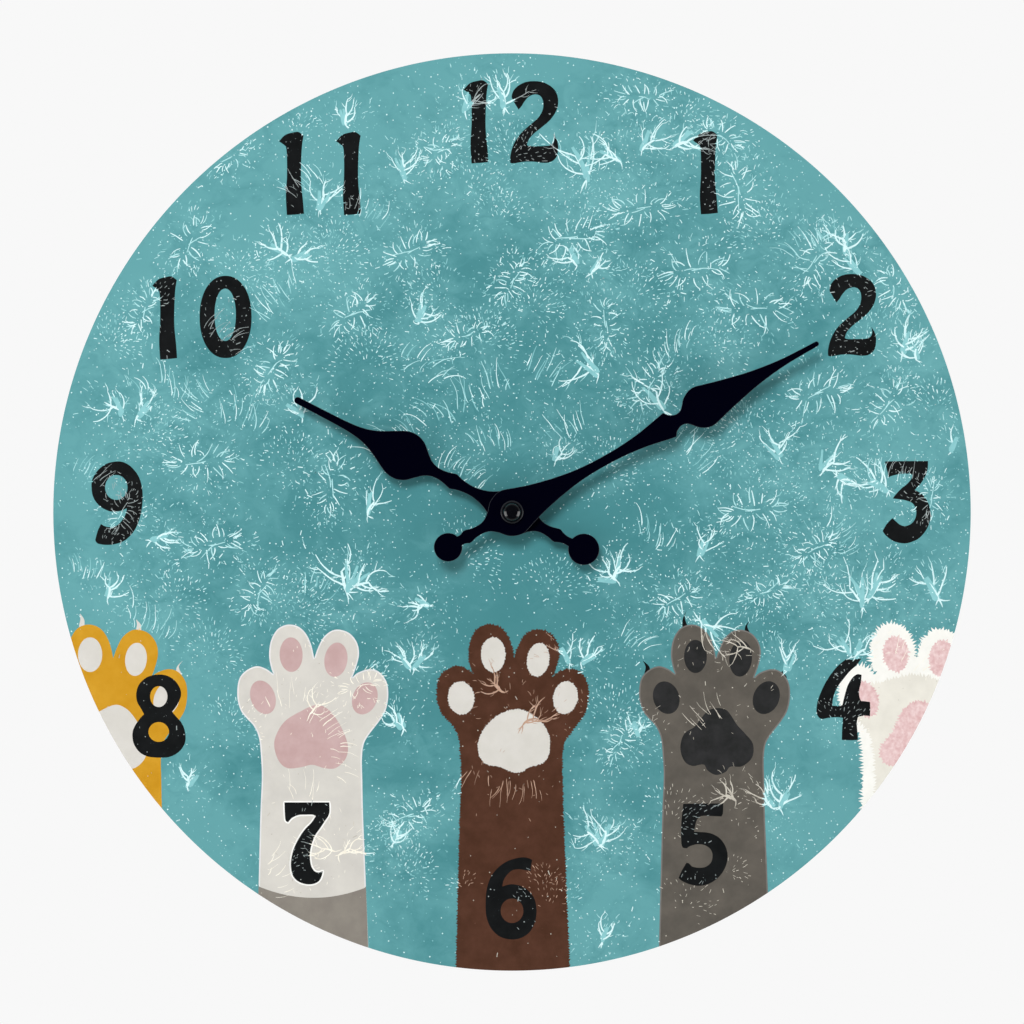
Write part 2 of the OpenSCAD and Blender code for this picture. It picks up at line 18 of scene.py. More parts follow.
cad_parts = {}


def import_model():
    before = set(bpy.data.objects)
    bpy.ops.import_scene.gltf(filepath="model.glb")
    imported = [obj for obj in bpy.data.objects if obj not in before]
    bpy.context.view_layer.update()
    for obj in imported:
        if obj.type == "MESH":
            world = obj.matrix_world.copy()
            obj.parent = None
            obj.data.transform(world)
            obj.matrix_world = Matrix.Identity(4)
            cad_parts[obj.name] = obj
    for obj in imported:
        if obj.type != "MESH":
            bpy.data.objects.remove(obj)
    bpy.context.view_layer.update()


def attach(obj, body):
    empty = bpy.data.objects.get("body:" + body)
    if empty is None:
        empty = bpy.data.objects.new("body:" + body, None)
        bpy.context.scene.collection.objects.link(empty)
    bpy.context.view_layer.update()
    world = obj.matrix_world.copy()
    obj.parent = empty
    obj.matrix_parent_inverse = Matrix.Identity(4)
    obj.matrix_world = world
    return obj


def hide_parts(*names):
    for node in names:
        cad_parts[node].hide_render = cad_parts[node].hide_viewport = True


Point = tuple[float, float]
Run = Sequence[Point]
Tile = tuple[Point, Point, Point]
Colour = tuple[float, float, float, float]
Inputs = dict[str | int, object]

LOG = logging.getLogger("wall_clock")
MM = 0.001

# Where things stand along the hands' axis, in millimetres in front of the wall.
PRINT_MM = 22.25
HOUR_HAND_MM = 26.4
MINUTE_HAND_MM = 29.0
HAND_SHEET_MM = 0.5

# The dial, and the hole in its middle.
DIAL_RADIUS_MM = 127.0
STEM_HOLE_MM = 4.2

# The kinds of node that are used most.
NOISE = "ShaderNodeTexNoise"
RANGE = "ShaderNodeMapRange"
MIX = "ShaderNodeMix"
MATH = "ShaderNodeMath"
VECTOR_MATH = "ShaderNodeVectorMath"
BUMP = "ShaderNodeBump"


# ---------------------------------------------------------------- colours and nodes


def linear(code: str) -> Colour:
    """Turns an sRGB hex colour into a linear one.

    Args:
        code: Six hex digits, such as "64a4a9".

    Returns:
        Linear red, green and blue, with alpha 1.
    """
    parts = [int(code[i : i + 2], 16) / 255 for i in (0, 2, 4)]
    parts = [p / 12.92 if p <= 0.04045 else ((p + 0.055) / 1.055) ** 2.4 for p in parts]
    return parts[0], parts[1], parts[2], 1.0


def add(
    tree: bpy.types.NodeTree, kind: str, inputs: Inputs | None = None, **settings: object
) -> bpy.types.Node:
    """Adds a node with its settings, values and links.

    Args:
        tree: The tree that gets the node.
        kind: The node's type name.
        inputs: For each input, by name or index, its value or the output socket that it is
            linked to. A node may stand for its first output in use.
        **settings: Properties of the node itself.

    Returns:
        The new node.
    """
    node = tree.nodes.new(kind)
    for name, value in settings.items():
        setattr(node, name, value)
    for key, value in (inputs or {}).items():
        if isinstance(value, bpy.types.Node):
            value = next(output for output in value.outputs if output.enabled)
        if isinstance(value, bpy.types.NodeSocket):
            tree.links.new(value, node.inputs[key])
        else:
            node.inputs[key].default_value = value
    return node


def sized(place: object, size_mm: float, detail: float = 2.0, roughness: float = 0.5,
          distortion: float = 0.0) -> Inputs:
    """The inputs of a noise whose pattern has a real size.

    Args:
        place: The coordinates that it runs over.
        size_mm: The size of its largest marks in millimetres.
        detail: How many finer layers it has.
        roughness: How strong the finer layers are.
        distortion: How much the marks swirl.

    Returns:
        The inputs by name.
    """
    return {"Vector": place, "Scale": 1 / (size_mm * MM), "Detail": detail,
            "Roughness": roughness, "Distortion": distortion}


def between(value: object, low: float, high: float, first: float = 0.0,
            last: float = 1.0) -> Inputs:
    """The inputs that turn low to high in a value into first to last."""
    return {"Value": value, "From Min": low, "From Max": high, "To Min": first, "To Max": last}


@dataclass(frozen=True)
class Finish:
    """A surface finish, which makes its material at its first use."""

    name: str

    def shade(self, tree: bpy.types.NodeTree, place: bpy.types.NodeSocket) -> Inputs:
        """Adds the finish's pattern; each kind of finish has its own.

        Args:
            tree: The material's tree.
            place: The piece's own coordinates, in metres.

        Returns:
            The shader's inputs.
        """
        raise NotImplementedError

    def material(self) -> bpy.types.Material:
        """The finish's material.

        Returns:
            The one that was made before, or else a new one.
        """
        found = bpy.data.materials.get(self.name)
        if found:
            return found
        material = bpy.data.materials.new(self.name)
        material.use_nodes = True
        tree = material.node_tree
        tree.nodes.clear()
        place = add(tree, "ShaderNodeTexCoord").outputs["Object"]
        shader = add(tree, "ShaderNodeBsdfPrincipled", self.shade(tree, place))
        add(tree, "ShaderNodeOutputMaterial", {"Surface": shader})
        return material


# Dry printing ink scatters light widely and hardly shines.
DRY_INK: Inputs = {"Roughness": 0.62, "Specular IOR Level": 0.12}


@dataclass(frozen=True)
class Ink(Finish):
    """UV-cured ink on matt film: even and flat, with a faint mottle where the ink lay thinner."""

    ink: str
    thin: str
    mottle_mm: float = 6.0
    # Tiny pits that print lighter than the ink, as in a worn screen: their colour and size.
    pit: str = ""
    pit_mm: float = 0.9
    pit_share: float = 0.3
    # The film's own tooth, from crest to crest.
    tooth_mm: float = 0.35

    def shade(self, tree: bpy.types.NodeTree, place: bpy.types.NodeSocket) -> Inputs:
        """Two tones of the ink in soft blotches, pitted where the finish asks for it."""
        blotch = add(tree, NOISE, sized(place, self.mottle_mm, 5.0, 0.6))
        share = add(tree, RANGE, between(blotch, 0.35, 0.68))
        colour = add(tree, MIX, {0: share, 6: linear(self.ink), 7: linear(self.thin)},
                     data_type="RGBA")
        if self.pit:
            edge = 0.78 - 0.12 * self.pit_share
            cells = add(tree, NOISE, sized(place, self.pit_mm, 3.0, 0.7))
            pits = add(tree, RANGE, between(cells, edge - 0.06, edge, 0.0, 0.8))
            colour = add(tree, MIX, {0: pits, 6: colour, 7: linear(self.pit)}, data_type="RGBA")
        # The tooth only just breaks up the sheen.
        tooth = add(tree, NOISE, sized(place, self.tooth_mm))
        bump = add(tree, BUMP, {"Height": tooth, "Strength": 0.12, "Distance": 0.02 * MM})
        return {"Base Color": colour, "Normal": bump, **DRY_INK}


@dataclass(frozen=True)
class CloudWash(Finish):
    """Printed wash of close tones in soft clouds, paler where frost is printed over it."""

    deep: str
    middle: str
    pale: str
    misty: str
    cloud_mm: float = 26.0
    brush_mm: float = 5.0

    def shade(self, tree: bpy.types.NodeTree, place: bpy.types.NodeSocket) -> Inputs:
        """Clouds choose deep, middle or pale, and the mesh's own frost attribute adds mist."""
        wide = add(tree, "ShaderNodeMapping", {"Vector": place, "Scale": (0.8, 1.0, 1.0)})
        clouds = add(tree, NOISE, sized(wide, self.cloud_mm, 4.0, 0.55, 0.4))
        brushed = add(tree, NOISE, sized(wide, self.brush_mm, 6.0, 0.72, 0.9))
        # The wash is a little paler towards the rim and towards the top.
        radius = DIAL_RADIUS_MM * MM
        reach = add(tree, VECTOR_MATH, {0: place}, operation="LENGTH")
        rim = add(tree, RANGE, between(reach, 0.04, radius, -0.06, 0.26))
        height = add(tree, "ShaderNodeSeparateXYZ", {0: place}).outputs["Z"]
        lift = add(tree, RANGE, between(height, -radius, radius, -0.05, 0.05))
        tone = add(tree, MATH, {0: clouds, 1: lift}, operation="ADD")
        tone = add(tree, MATH, {0: tone, 1: rim}, operation="ADD")
        share = add(tree, RANGE, between(tone, 0.36, 0.6))
        both = add(tree, MATH, {0: brushed, 1: 0.5, 2: tone}, operation="MULTIPLY_ADD")
        pale = add(tree, RANGE, between(both, 0.74, 1.05, 0.0, 0.75))
        frost = add(tree, "ShaderNodeAttribute", attribute_name="frost").outputs["Fac"]
        ragged = add(tree, RANGE, between(brushed, 0.36, 0.64, 0.0, 0.24))
        misted = add(tree, MATH, {0: frost, 1: ragged}, operation="MULTIPLY")
        colour: object = linear(self.deep)
        for part, code in ((share, self.middle), (pale, self.pale), (misted, self.misty)):
            colour = add(tree, MIX, {0: part, 6: colour, 7: linear(code)}, data_type="RGBA")
        return {"Base Color": colour, **DRY_INK}


@dataclass(frozen=True)
class Moulded(Finish):
    """Injection-moulded plastic: even colour, with the fine pitting of a spark-eroded mould."""

    colour: str
    worn: str
    roughness: float = 0.5
    # Real spark pits are about 0.1 mm; they are drawn at spark_mm so that they can be seen.
    spark_mm: float = 0.5
    spark_depth: float = 0.35
    specular: float = 0.5
    flow_mm: float = 14.0

    def shade(self, tree: bpy.types.NodeTree, place: bpy.types.NodeSocket) -> Inputs:
        """The mould's pits as bump, and a slow drift in gloss and tone from the melt's flow."""
        pits = add(tree, NOISE, sized(place, self.spark_mm, 3.0, 0.7))
        flow = add(tree, NOISE, sized(place, self.flow_mm, 3.0))
        tone = add(tree, MIX, {0: flow, 6: linear(self.colour), 7: linear(self.worn)},
                   data_type="RGBA")
        gloss = add(
            tree, RANGE, between(flow, 0.3, 0.7, self.roughness - 0.07, self.roughness + 0.07)
        )
        bump = add(
            tree, BUMP, {"Height": pits, "Strength": self.spark_depth, "Distance": 0.05 * MM}
        )
        return {"Base Color": tone, "Roughness": gloss, "Normal": bump,
                "Specular IOR Level": self.specular}


class Lay(Enum):
    """Which way the tool marks of a metal run."""

    TURNED = "rings about the hands' axis"
    ROLLED = "straight lines up the sheet"


@dataclass(frozen=True)
class Metal(Finish):
    """Bare or plated metal with the marks of how it was made, either turned or rolled."""

    colour: str
    stain: str
    roughness: float = 0.3
    lay: Lay = Lay.ROLLED
    # Distance between tool marks. Real ones are under 0.1 mm and are drawn coarser to show.
    lay_mm: float = 0.3
    tarnish_mm: float = 5.0

    def shade(self, tree: bpy.types.NodeTree, place: bpy.types.NodeSocket) -> Inputs:
        """Tool marks in bump and gloss, over a thin uneven tarnish."""
        squash = (1.0, 0.0, 1.0) if self.lay is Lay.TURNED else (1.0, 1.0, 0.03)
        marks_at = add(tree, "ShaderNodeMapping", {"Vector": place, "Scale": squash})
        if self.lay is Lay.TURNED:
            reach = add(tree, VECTOR_MATH, {0: marks_at}, operation="LENGTH")
            marks_at = add(tree, "ShaderNodeCombineXYZ", {"X": reach})
        marks = add(tree, NOISE, sized(marks_at, self.lay_mm, 3.0))
        tarnish = add(tree, NOISE, sized(place, self.tarnish_mm, 5.0))
        spots = add(tree, RANGE, between(tarnish, 0.45, 0.75))
        tone = add(tree, MIX, {0: spots, 6: linear(self.colour), 7: linear(self.stain)},
                   data_type="RGBA")
        gloss = add(
            tree, RANGE, between(marks, 0.3, 0.7, self.roughness - 0.08, self.roughness + 0.12)
        )
        bump = add(tree, BUMP, {"Height": marks, "Strength": 0.25, "Distance": 0.02 * MM})
        return {"Base Color": tone, "Roughness": gloss, "Normal": bump, "Metallic": 1.0}


@dataclass(frozen=True)
class Lacquer(Finish):
    """Black stoving lacquer on pressed aluminium: deep, with a faint orange peel."""

    colour: str
    roughness: float
    specular: float
    peel_mm: float = 1.2

    def shade(self, tree: bpy.types.NodeTree, place: bpy.types.NodeSocket) -> Inputs:
        """Orange peel in bump, and dust-fine changes of gloss."""
        peel = add(tree, NOISE, sized(place, self.peel_mm))
        gloss = add(
            tree, RANGE, between(peel, 0.3, 0.7, self.roughness * 0.85, self.roughness * 1.15)
        )
        bump = add(tree, BUMP, {"Height": peel, "Strength": 0.1, "Distance": 0.02 * MM})
        return {"Base Color": linear(self.colour), "Roughness": gloss, "Normal": bump,
                "Specular IOR Level": self.specular}


@dataclass(frozen=True)
class Fibreboard(Finish):
    """Medium-density fibreboard, sanded: brown felted fibres, each a millimetre or two long."""

    light: str
    dark: str
    fibre_mm: float = 1.1
    blotch_mm: float = 22.0

    def shade(self, tree: bpy.types.NodeTree, place: bpy.types.NodeSocket) -> Inputs:
        """Crossed layers of stretched noise for the fibres, and wide damp-looking blotches."""
        fibres = add(tree, NOISE, sized(place, self.fibre_mm, 5.0, 0.75, 2.5))
        blotch = add(tree, NOISE, sized(place, self.blotch_mm, 4.0))
        both = add(tree, MATH, {0: blotch, 1: 0.3, 2: fibres}, operation="MULTIPLY_ADD")
        share = add(tree, RANGE, between(both, 0.5, 0.82))
        tone = add(tree, MIX, {0: share, 6: linear(self.dark), 7: linear(self.light)},
                   data_type="RGBA")
        bump = add(tree, BUMP, {"Height": fibres, "Strength": 0.3, "Distance": 0.06 * MM})
        return {"Base Color": tone, "Normal": bump, "Roughness": 0.88, "Specular IOR Level": 0.2}


@dataclass(frozen=True)
class Wound(Finish):
    """Enamelled copper wire wound in layers: fine ridges across the coil, with painted shade in the
    grooves between turns.
    """

    wire: str
    # The tone between the turns: painted shade in the grooves.
    gap: str
    # Clock coils have 0.02 mm wire; the turns are drawn every pitch_mm so that they show.
    pitch_mm: float = 0.25

    def shade(self, tree: bpy.types.NodeTree, place: bpy.types.NodeSocket) -> Inputs:
        """Ridges along the coil's length in bump, and in colour as painted shade darkening the
        grooves between them.
        """
        turns = add(
            tree, "ShaderNodeTexWave",
            {"Vector": place, "Scale": 1 / (self.pitch_mm * MM) / 20, "Distortion": 0.4},
            bands_direction="Z",
        ).outputs["Fac"]
        tone = add(tree, MIX, {0: turns, 6: linear(self.gap), 7: linear(self.wire)},
                   data_type="RGBA")
        bump = add(tree, BUMP, {"Height": turns, "Strength": 0.6, "Distance": 0.05 * MM})
        return {"Base Color": tone, "Normal": bump, "Metallic": 0.8, "Roughness": 0.35}


# ---------------------------------------------------------------- finishes of this clock

# The printed inks are flat to the eye: each has two close tones, and a mottle as wide as given.
TEAL = CloudWash("teal_wash_print", "407d82", "458287", "619da1", "7fbabd")
NUMERAL = Ink("numeral_black_ink", "0f1112", "161819", 4.0, pit="5f7172", pit_mm=0.7, pit_share=0.2)
NUMERAL_EDGE = Ink("numeral_white_edge", "e6e6e2", "dcdcd8")
FROST = Ink("frost_white_ink", "cfeaec", "bfe0e2", 2.5)
FROST_MID = Ink("frost_middle_ink", "abd8db", "9bcccf", 2.5)
FROST_FAINT = Ink("frost_faint_ink", "86bfc3", "79b3b7", 2.5)
CREAM = Ink("cream_stroke_ink", "efece0", "e2dccd", 2.5)
TAN = Ink("tan_stroke_ink", "bf9f8b", "9c7c68", 2.5)
STONE = Ink("stone_stroke_ink", "cbc6ba", "a29d92", 2.5)
STRAW = Ink("straw_stroke_ink", "ecc877", "dfb459", 2.5)
ASH = Ink("ash_stroke_ink", "a9b3b3", "7d8888", 2.5)
FUR_WHITE = Ink("white_fur_ink", "c8c5be", "bebbb5", 9.0)
FUR_WHITE_EDGE = Ink("white_fur_edge_ink", "d8d8d8", "ceced0", 3.0)
SOCK = Ink("grey_sock_ink", "7c766f", "868178", 6.0)
FUR_ORANGE = Ink("orange_fur_ink", "ba861a", "c49228", 7.0)
FUR_BROWN = Ink("brown_fur_ink", "452a1d", "513326", 5.0, pit="6d4b3c", pit_mm=1.1, pit_share=0.1)
FUR_GREY = Ink("grey_fur_ink", "524e48", "5e5952", 6.0)
FUR_GREY_EDGE = Ink("grey_fur_edge_ink", "6a6764", "74706d", 3.0)
FUR_FLUFF = Ink("fluffy_fur_ink", "d2cfc5", "dddad0", 7.0)
FUR_FLUFF_EDGE = Ink("fluffy_tip_ink", "e1e1db", "e8e7e2", 4.0)
PAD_PINK = Ink("pink_pad_ink", "b49795", "bda2a1", 5.0)
PAD_ROSE = Ink("rose_pad_ink", "cba4a4", "dfc9c8", 1.4)
PAD_WHITE = Ink("white_pad_ink", "cac7c1", "c4c1ba", 5.0)
PAD_DARK = Ink("dark_pad_ink", "222323", "2e2e2f", 4.0)
CLAW_BLACK = Ink("black_claw_ink", "0c0d0e", "141516", 2.0)
FILM = Ink("white_film", "dcdcda", "d2d2d0", 6.0)

# Sanded fibreboard is dull and fibrous.
BOARD = Fibreboard("sanded_fibreboard", "a98a66", "866948")

# Stoved lacquer hides the metal: the hands are satin black, the cap is like glass.
HAND_BLACK = Lacquer("black_hand_lacquer", "01010b", 0.5, 0.012)
# The hands' edge grey is painted highlight: the same black lacquer as their faces, painted lighter
# along the bevel and walls.
HAND_EDGE_HIGHLIGHT = Lacquer("hand_edge_highlight_lacquer", "2e2f34", 0.3, 0.5)
CAP_GLOSS = Lacquer("black_cap_enamel", "05060a", 0.1, 1.0, 3.0)
# The ring's grey is painted highlight: the nut is one black enamel, painted lighter round its rim.
CAP_RING_HIGHLIGHT = Lacquer("cap_ring_highlight_enamel", "232428", 0.3, 0.5)

# Mouldings: satin where the mould was spark-eroded, glossy where it was polished.
ABS_BLACK = Moulded("black_abs", "1a1b1d", "232427", 0.5)
ABS_GLOSS = Moulded("black_abs_polished", "16171a", "1c1d20", 0.28, spark_depth=0.08)
ABS_IVORY = Moulded("ivory_abs", "cfc6ad", "bfb59a", 0.42)
ACETAL = Moulded("white_acetal", "dcdcd4", "cfcfc6", 0.38, spark_depth=0.12)
RUBBER = Moulded("black_rubber", "141414", "1e1e1e", 0.85, 0.7, 0.5, 0.3)
EPOXY = Moulded("black_epoxy", "0c0c0e", "131316", 0.22, 1.5, 0.1)
FERRITE = Moulded("sintered_ferrite", "2a2a2c", "363639", 0.6, 0.3)
SOLDER_MASK = Moulded("green_solder_mask", "0f4a2c", "15603a", 0.3, 1.0, 0.15)
SLEEVE_BLUE = Moulded("blue_cell_sleeve", "1d4f86", "235a96", 0.22, 2.5, 0.06)
SLEEVE_GREY = Moulded("grey_cell_band", "b9bdc0", "aeb2b5", 0.25, 2.5, 0.06)

# Bare metals and coil wire: bright, with fine lines from the lathe, the rolls or the winding.
BRASS = Metal("turned_brass", "c9a35a", "a98345", 0.26, Lay.TURNED, 0.25)
STEEL_PIN = Metal("bright_steel", "b9bbbd", "a3a5a8", 0.2, Lay.TURNED, 0.2)
ZINC_STEEL = Metal("zinc_plated_steel", "aeb1b3", "8f9294", 0.34, Lay.ROLLED, 0.35)
NICKEL = Metal("nickel_plated_strip", "b9b4a8", "a19b8f", 0.24, Lay.ROLLED, 0.25)
SOFT_IRON = Metal("annealed_iron", "7f8082", "6b6c6f", 0.45, Lay.ROLLED, 0.3)
COPPER = Wound("enamelled_copper_wire", "b4582a", "5f2a14")


# ---------------------------------------------------------------- outlines


def catmull(p0: Point, p1: Point, p2: Point, p3: Point, t: float) -> Point:
    """The point at share t of a smooth run from p1 to p2.

    Args:
        p0: The point before the run.
        p1: Its start.
        p2: Its end.
        p3: The point after it.
        t: The share of the way, from 0 to 1.

    Returns:
        The point.
    """
    def along(a: float, b: float, c: float, d: float) -> float:
        """One coordinate of it."""
        return 0.5 * (2 * b + (c - a) * t + (2 * a - 5 * b + 4 * c - d) * t * t
                      + (3 * b - a - 3 * c + d) * t ** 3)

    return along(p0[0], p1[0], p2[0], p3[0]), along(p0[1], p1[1], p2[1], p3[1])


def smooth(points: Run, steps: int, closed: bool = False) -> list[Point]:
    """A smooth line through points.

    Args:
        points: The points that it passes.
        steps: How many parts each gap is cut into.
        closed: Whether it runs back into its start.

    Returns:
        The line's points; an open line leaves out its last one.
    """
    n = len(points)
    line: list[Point] = []
    for i in range(n if closed else n - 1):
        if closed:
            four = [points[(i + k) % n] for k in (-1, 0, 1, 2)]
        else:
            four = [points[min(max(i + k, 0), n - 1)] for k in (-1, 0, 1, 2)]
        line += [catmull(*four, j / steps) for j in range(steps)]
    return line


def outline(runs: Sequence[Run], steps: int = 6) -> list[Point]:
    """A closed outline of smooth runs that meet in corners.

    Args:
        runs: The runs; each begins at a corner and ends at the next run's first point.
        steps: How many parts each gap between points is cut into.

    Returns:
        The outline.
    """
    line: list[Point] = []
    for i, run in enumerate(runs):
        line += smooth([*run, runs[(i + 1) % len(runs)][0]], steps)
    return line


def oval(x: float, z: float, rx: float, rz: float, tilt: float = 0.0, square: float = 2.0,
         count: int = 40) -> list[Point]:
    """An oval outline.

    Args:
        x: Its middle.
        z: Its middle's height.
        rx: Half its width.
        rz: Half its height.
        tilt: How far it is turned anticlockwise, in degrees.
        square: Over 2 fills its corners.
        count: How many points it has.

    Returns:
        The outline, anticlockwise.
    """
    c, s = math.cos(math.radians(tilt)), math.sin(math.radians(tilt))
    points = []
    for i in range(count):
        a = 2 * math.pi * i / count
        u = rx * math.copysign(abs(math.cos(a)) ** (2 / square), math.cos(a))
        v = rz * math.copysign(abs(math.sin(a)) ** (2 / square), math.sin(a))
        points.append((x + u * c - v * s, z + u * s + v * c))
    return points


def moved(points: Iterable[Point], dx: float, dz: float) -> list[Point]:
    """The points, shifted."""
    return [(x + dx, z + dz) for x, z in points]


def grown(points: Sequence[Point], by: float) -> list[Point]:
    """Pushes an outline outwards.

    Args:
        points: The anticlockwise outline.
        by: How far; inwards if it is negative.

    Returns:
        The new outline.
    """
    n, out = len(points), []
    for i, (x, z) in enumerate(points):
        (ax, az), (bx, bz) = points[i - 1], points[(i + 1) % n]
        tx, tz = bx - ax, bz - az
        size = math.hypot(tx, tz) or 1.0
        out.append((x + by * tz / size, z - by * tx / size))
    return out


def off(start: Point, degrees: float, distance: float, flat: float = 1.0) -> Point:
    """The point at a distance from another in a direction, its rise flattened by a share."""
    turn = math.radians(degrees)
    return start[0] + distance * math.cos(turn), start[1] + flat * distance * math.sin(turn)


def anticlockwise(points: list[Point]) -> list[Point]:
    """The outline, turned round if it runs clockwise."""
    area = sum(
        a[0] * b[1] - b[0] * a[1] for a, b in zip(points, points[1:] + points[:1], strict=True)
    )
    return points if area > 0 else points[::-1]


def even(points: Sequence[Point], step: float) -> list[Point]:
    """Cuts a closed outline into equal steps.

    Args:
        points: The outline.
        step: The length of a step, as near as fits.

    Returns:
        The points between the steps, at least 8.
    """
    lengths = [math.dist(p, points[(i + 1) % len(points)]) for i, p in enumerate(points)]
    count = max(8, round(sum(lengths) / step))
    gap, out, left, i = sum(lengths) / count, [], 0.0, 0
    for _ in range(count):
        while left > lengths[i] and i < len(points) - 1:
            left -= lengths[i]
            i += 1
        share = min(left / lengths[i], 1.0) if lengths[i] else 0.0
        (ax, az), (bx, bz) = points[i], points[(i + 1) % len(points)]
        out.append((ax + (bx - ax) * share, az + (bz - az) * share))
        left += gap
    return out


def tufted(points: Sequence[Point], step: float, reach: float, seed: int) -> list[Point]:
    """An outline whose edge breaks into pointed tufts of fur.

    Args:
        points: The anticlockwise outline.
        step: The distance from one tuft to the next.
        reach: How far the longest tuft stands out.
        seed: Fixes the tufts' lengths and lean.

    Returns:
        The tufted outline.
    """
    rng = random.Random(seed)
    base = even(points, step / 2)
    far = grown(base, 1.0)
    out = []
    for i, ((x, z), (fx, fz)) in enumerate(zip(base, far, strict=True)):
        nx, nz = fx - x, fz - z
        if i % 2:
            length, lean = reach * rng.uniform(0.3, 1.0), rng.uniform(-0.5, 0.5) * step
            out.append((x + nx * length - nz * lean, z + nz * length + nx * lean))
        else:
            sink = reach * rng.uniform(-0.15, 0.1)
            out.append((x + nx * sink, z + nz * sink))
    return out


def inside(x: float, z: float, points: Sequence[Point]) -> bool:
    """Whether a point lies in a closed outline.

    Args:
        x: The point.
        z: Its height.
        points: The outline.

    Returns:
        True if it is inside.
    """
    found, j = False, len(points) - 1
    for i, (px, pz) in enumerate(points):
        qx, qz = points[j]
        if (pz > z) != (qz > z) and x < (qx - px) * (z - pz) / (qz - pz) + px:
            found = not found
        j = i
    return found


# ---------------------------------------------------------------- meshes


def in_row(x: float, z: float, front_mm: float) -> Vector:
    """The row-frame place of a point of the dial, in front of the wall by so much."""
    return Vector((x * MM, -front_mm * MM, z * MM))


def new_piece(name: str, mesh: bpy.types.Mesh, finishes: Sequence[Finish]) -> bpy.types.Object:
    """Links a mesh to the scene as a piece with its finishes.

    Args:
        name: The piece's name.
        mesh: Its mesh.
        finishes: The finish of each of its material slots.

    Returns:
        The piece.
    """
    piece = bpy.data.objects.new(name, mesh)
    bpy.context.scene.collection.objects.link(piece)
    for finish in finishes:
        mesh.materials.append(finish.material())
    return piece


def meshed(work: bmesh.types.BMesh, name: str) -> bpy.types.Mesh:
    """Turns a closed bmesh into a mesh whose faces look outwards, and frees it.

    Args:
        work: The finished bmesh.
        name: The mesh's name.

    Returns:
        The mesh.
    """
    bmesh.ops.recalc_face_normals(work, faces=work.faces)
    mesh = bpy.data.meshes.new(name)
    work.to_mesh(mesh)
    work.free()
    return mesh


def applied(piece: bpy.types.Object) -> bpy.types.Mesh:
    """Turns a piece's modifiers into its mesh.

    Args:
        piece: The piece, which keeps no modifiers.

    Returns:
        Its new mesh.
    """
    evaluated = piece.evaluated_get(bpy.context.evaluated_depsgraph_get())
    mesh = bpy.data.meshes.new_from_object(evaluated)
    piece.modifiers.clear()
    piece.data = mesh
    return mesh


def crease(mesh: bpy.types.Mesh, degrees: float = 32.0) -> None:
    """Smooth shading with crisp edges where faces turn by more than so many degrees."""
    work = bmesh.new()
    work.from_mesh(mesh)
    for face in work.faces:
        face.smooth = True
    for edge in work.edges:
        if len(edge.link_faces) == 2:
            edge.smooth = edge.calc_face_angle(0.0) < math.radians(degrees)
    work.to_mesh(mesh)
    work.free()


def wall(work: bmesh.types.BMesh, low: Sequence[bmesh.types.BMVert],
         high: Sequence[bmesh.types.BMVert], index: int = 0) -> None:
    """Joins two closed rings of points by quads.

    Args:
        work: The bmesh that they are in.
        low: One ring.
        high: The other, with as many points.
        index: The material slot of the quads.
    """
    for i in range(len(low)):
        k = (i + 1) % len(low)
        work.faces.new([low[i], low[k], high[k], high[i]]).material_index = index


def lathe(name: str, profile: Sequence[Point], finishes: Sequence[Finish],
          bands: Sequence[int] = (), segments: int = 96) -> bpy.types.Object:
    """A closed piece turned about the hands' axis.

    Args:
        name: The piece's name.
        profile: (radius, distance in front of the wall) stations, in order round the section.
        finishes: Its finishes.
        bands: For each gap between stations, the index of its finish; all 0 if empty.
        segments: Facets round it.

    Returns:
        The piece.
    """
    work = bmesh.new()
    rings = []
    for r, front in profile:
        turns = [2 * math.pi * k / segments for k in range(segments if r else 1)]
        rings.append(
            [work.verts.new(in_row(r * math.cos(t), r * math.sin(t), front)) for t in turns]
        )
    count = len(rings) if profile[0][0] else len(rings) - 1
    for i in range(count):
        one, two = rings[i], rings[(i + 1) % len(rings)]
        if len(one) == len(two) == 1:
            continue
        for k in range(segments):
            m = (k + 1) % segments
            quad = [one[k % len(one)], one[m % len(one)], two[m % len(two)], two[k % len(two)]]
            face = work.faces.new(list(dict.fromkeys(quad)))
            face.material_index = bands[i] if bands else 0
    mesh = meshed(work, name)
    crease(mesh)
    return new_piece(name, mesh, finishes)


def softened(name: str, node: str, finish: Finish, width_mm: float) -> bpy.types.Object:
    """A copy of a CAD node with its sharp edges broken, which stands for the node.

    Args:
        name: The new piece's name.
        node: The CAD node.
        finish: Its finish.
        width_mm: How wide the broken edge is.

    Returns:
        The piece, not yet riding on a body.
    """
    mesh = bpy.data.objects[node].data.copy()
    mesh.name = name
    mesh.materials.clear()
    work = bmesh.new()
    work.from_mesh(mesh)
    bmesh.ops.remove_doubles(work, verts=work.verts, dist=0.002 * MM)
    bmesh.ops.dissolve_limit(
        work, angle_limit=math.radians(0.8), verts=work.verts, edges=work.edges,
        delimit={"NORMAL"},
    )
    for face in work.faces:
        face.material_index = 0
    work.to_mesh(mesh)
    work.free()
    piece = new_piece(name, mesh, [finish])
    bevel = piece.modifiers.new("broken_edges", "BEVEL")
    bevel.width = width_mm * MM
    bevel.segments = 2
    bevel.limit_method = "ANGLE"
    bevel.angle_limit = math.radians(40)
    bevel.use_clamp_overlap = True
    crease(applied(piece), 50)
    # Flats keep their own shading up to the broken edges.
    flats = piece.modifiers.new("flat_faces", "WEIGHTED_NORMAL")
    flats.keep_sharp = True
    flats.weight = 100
    applied(piece)
    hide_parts(node)
    return piece


# ---------------------------------------------------------------- printed numerals


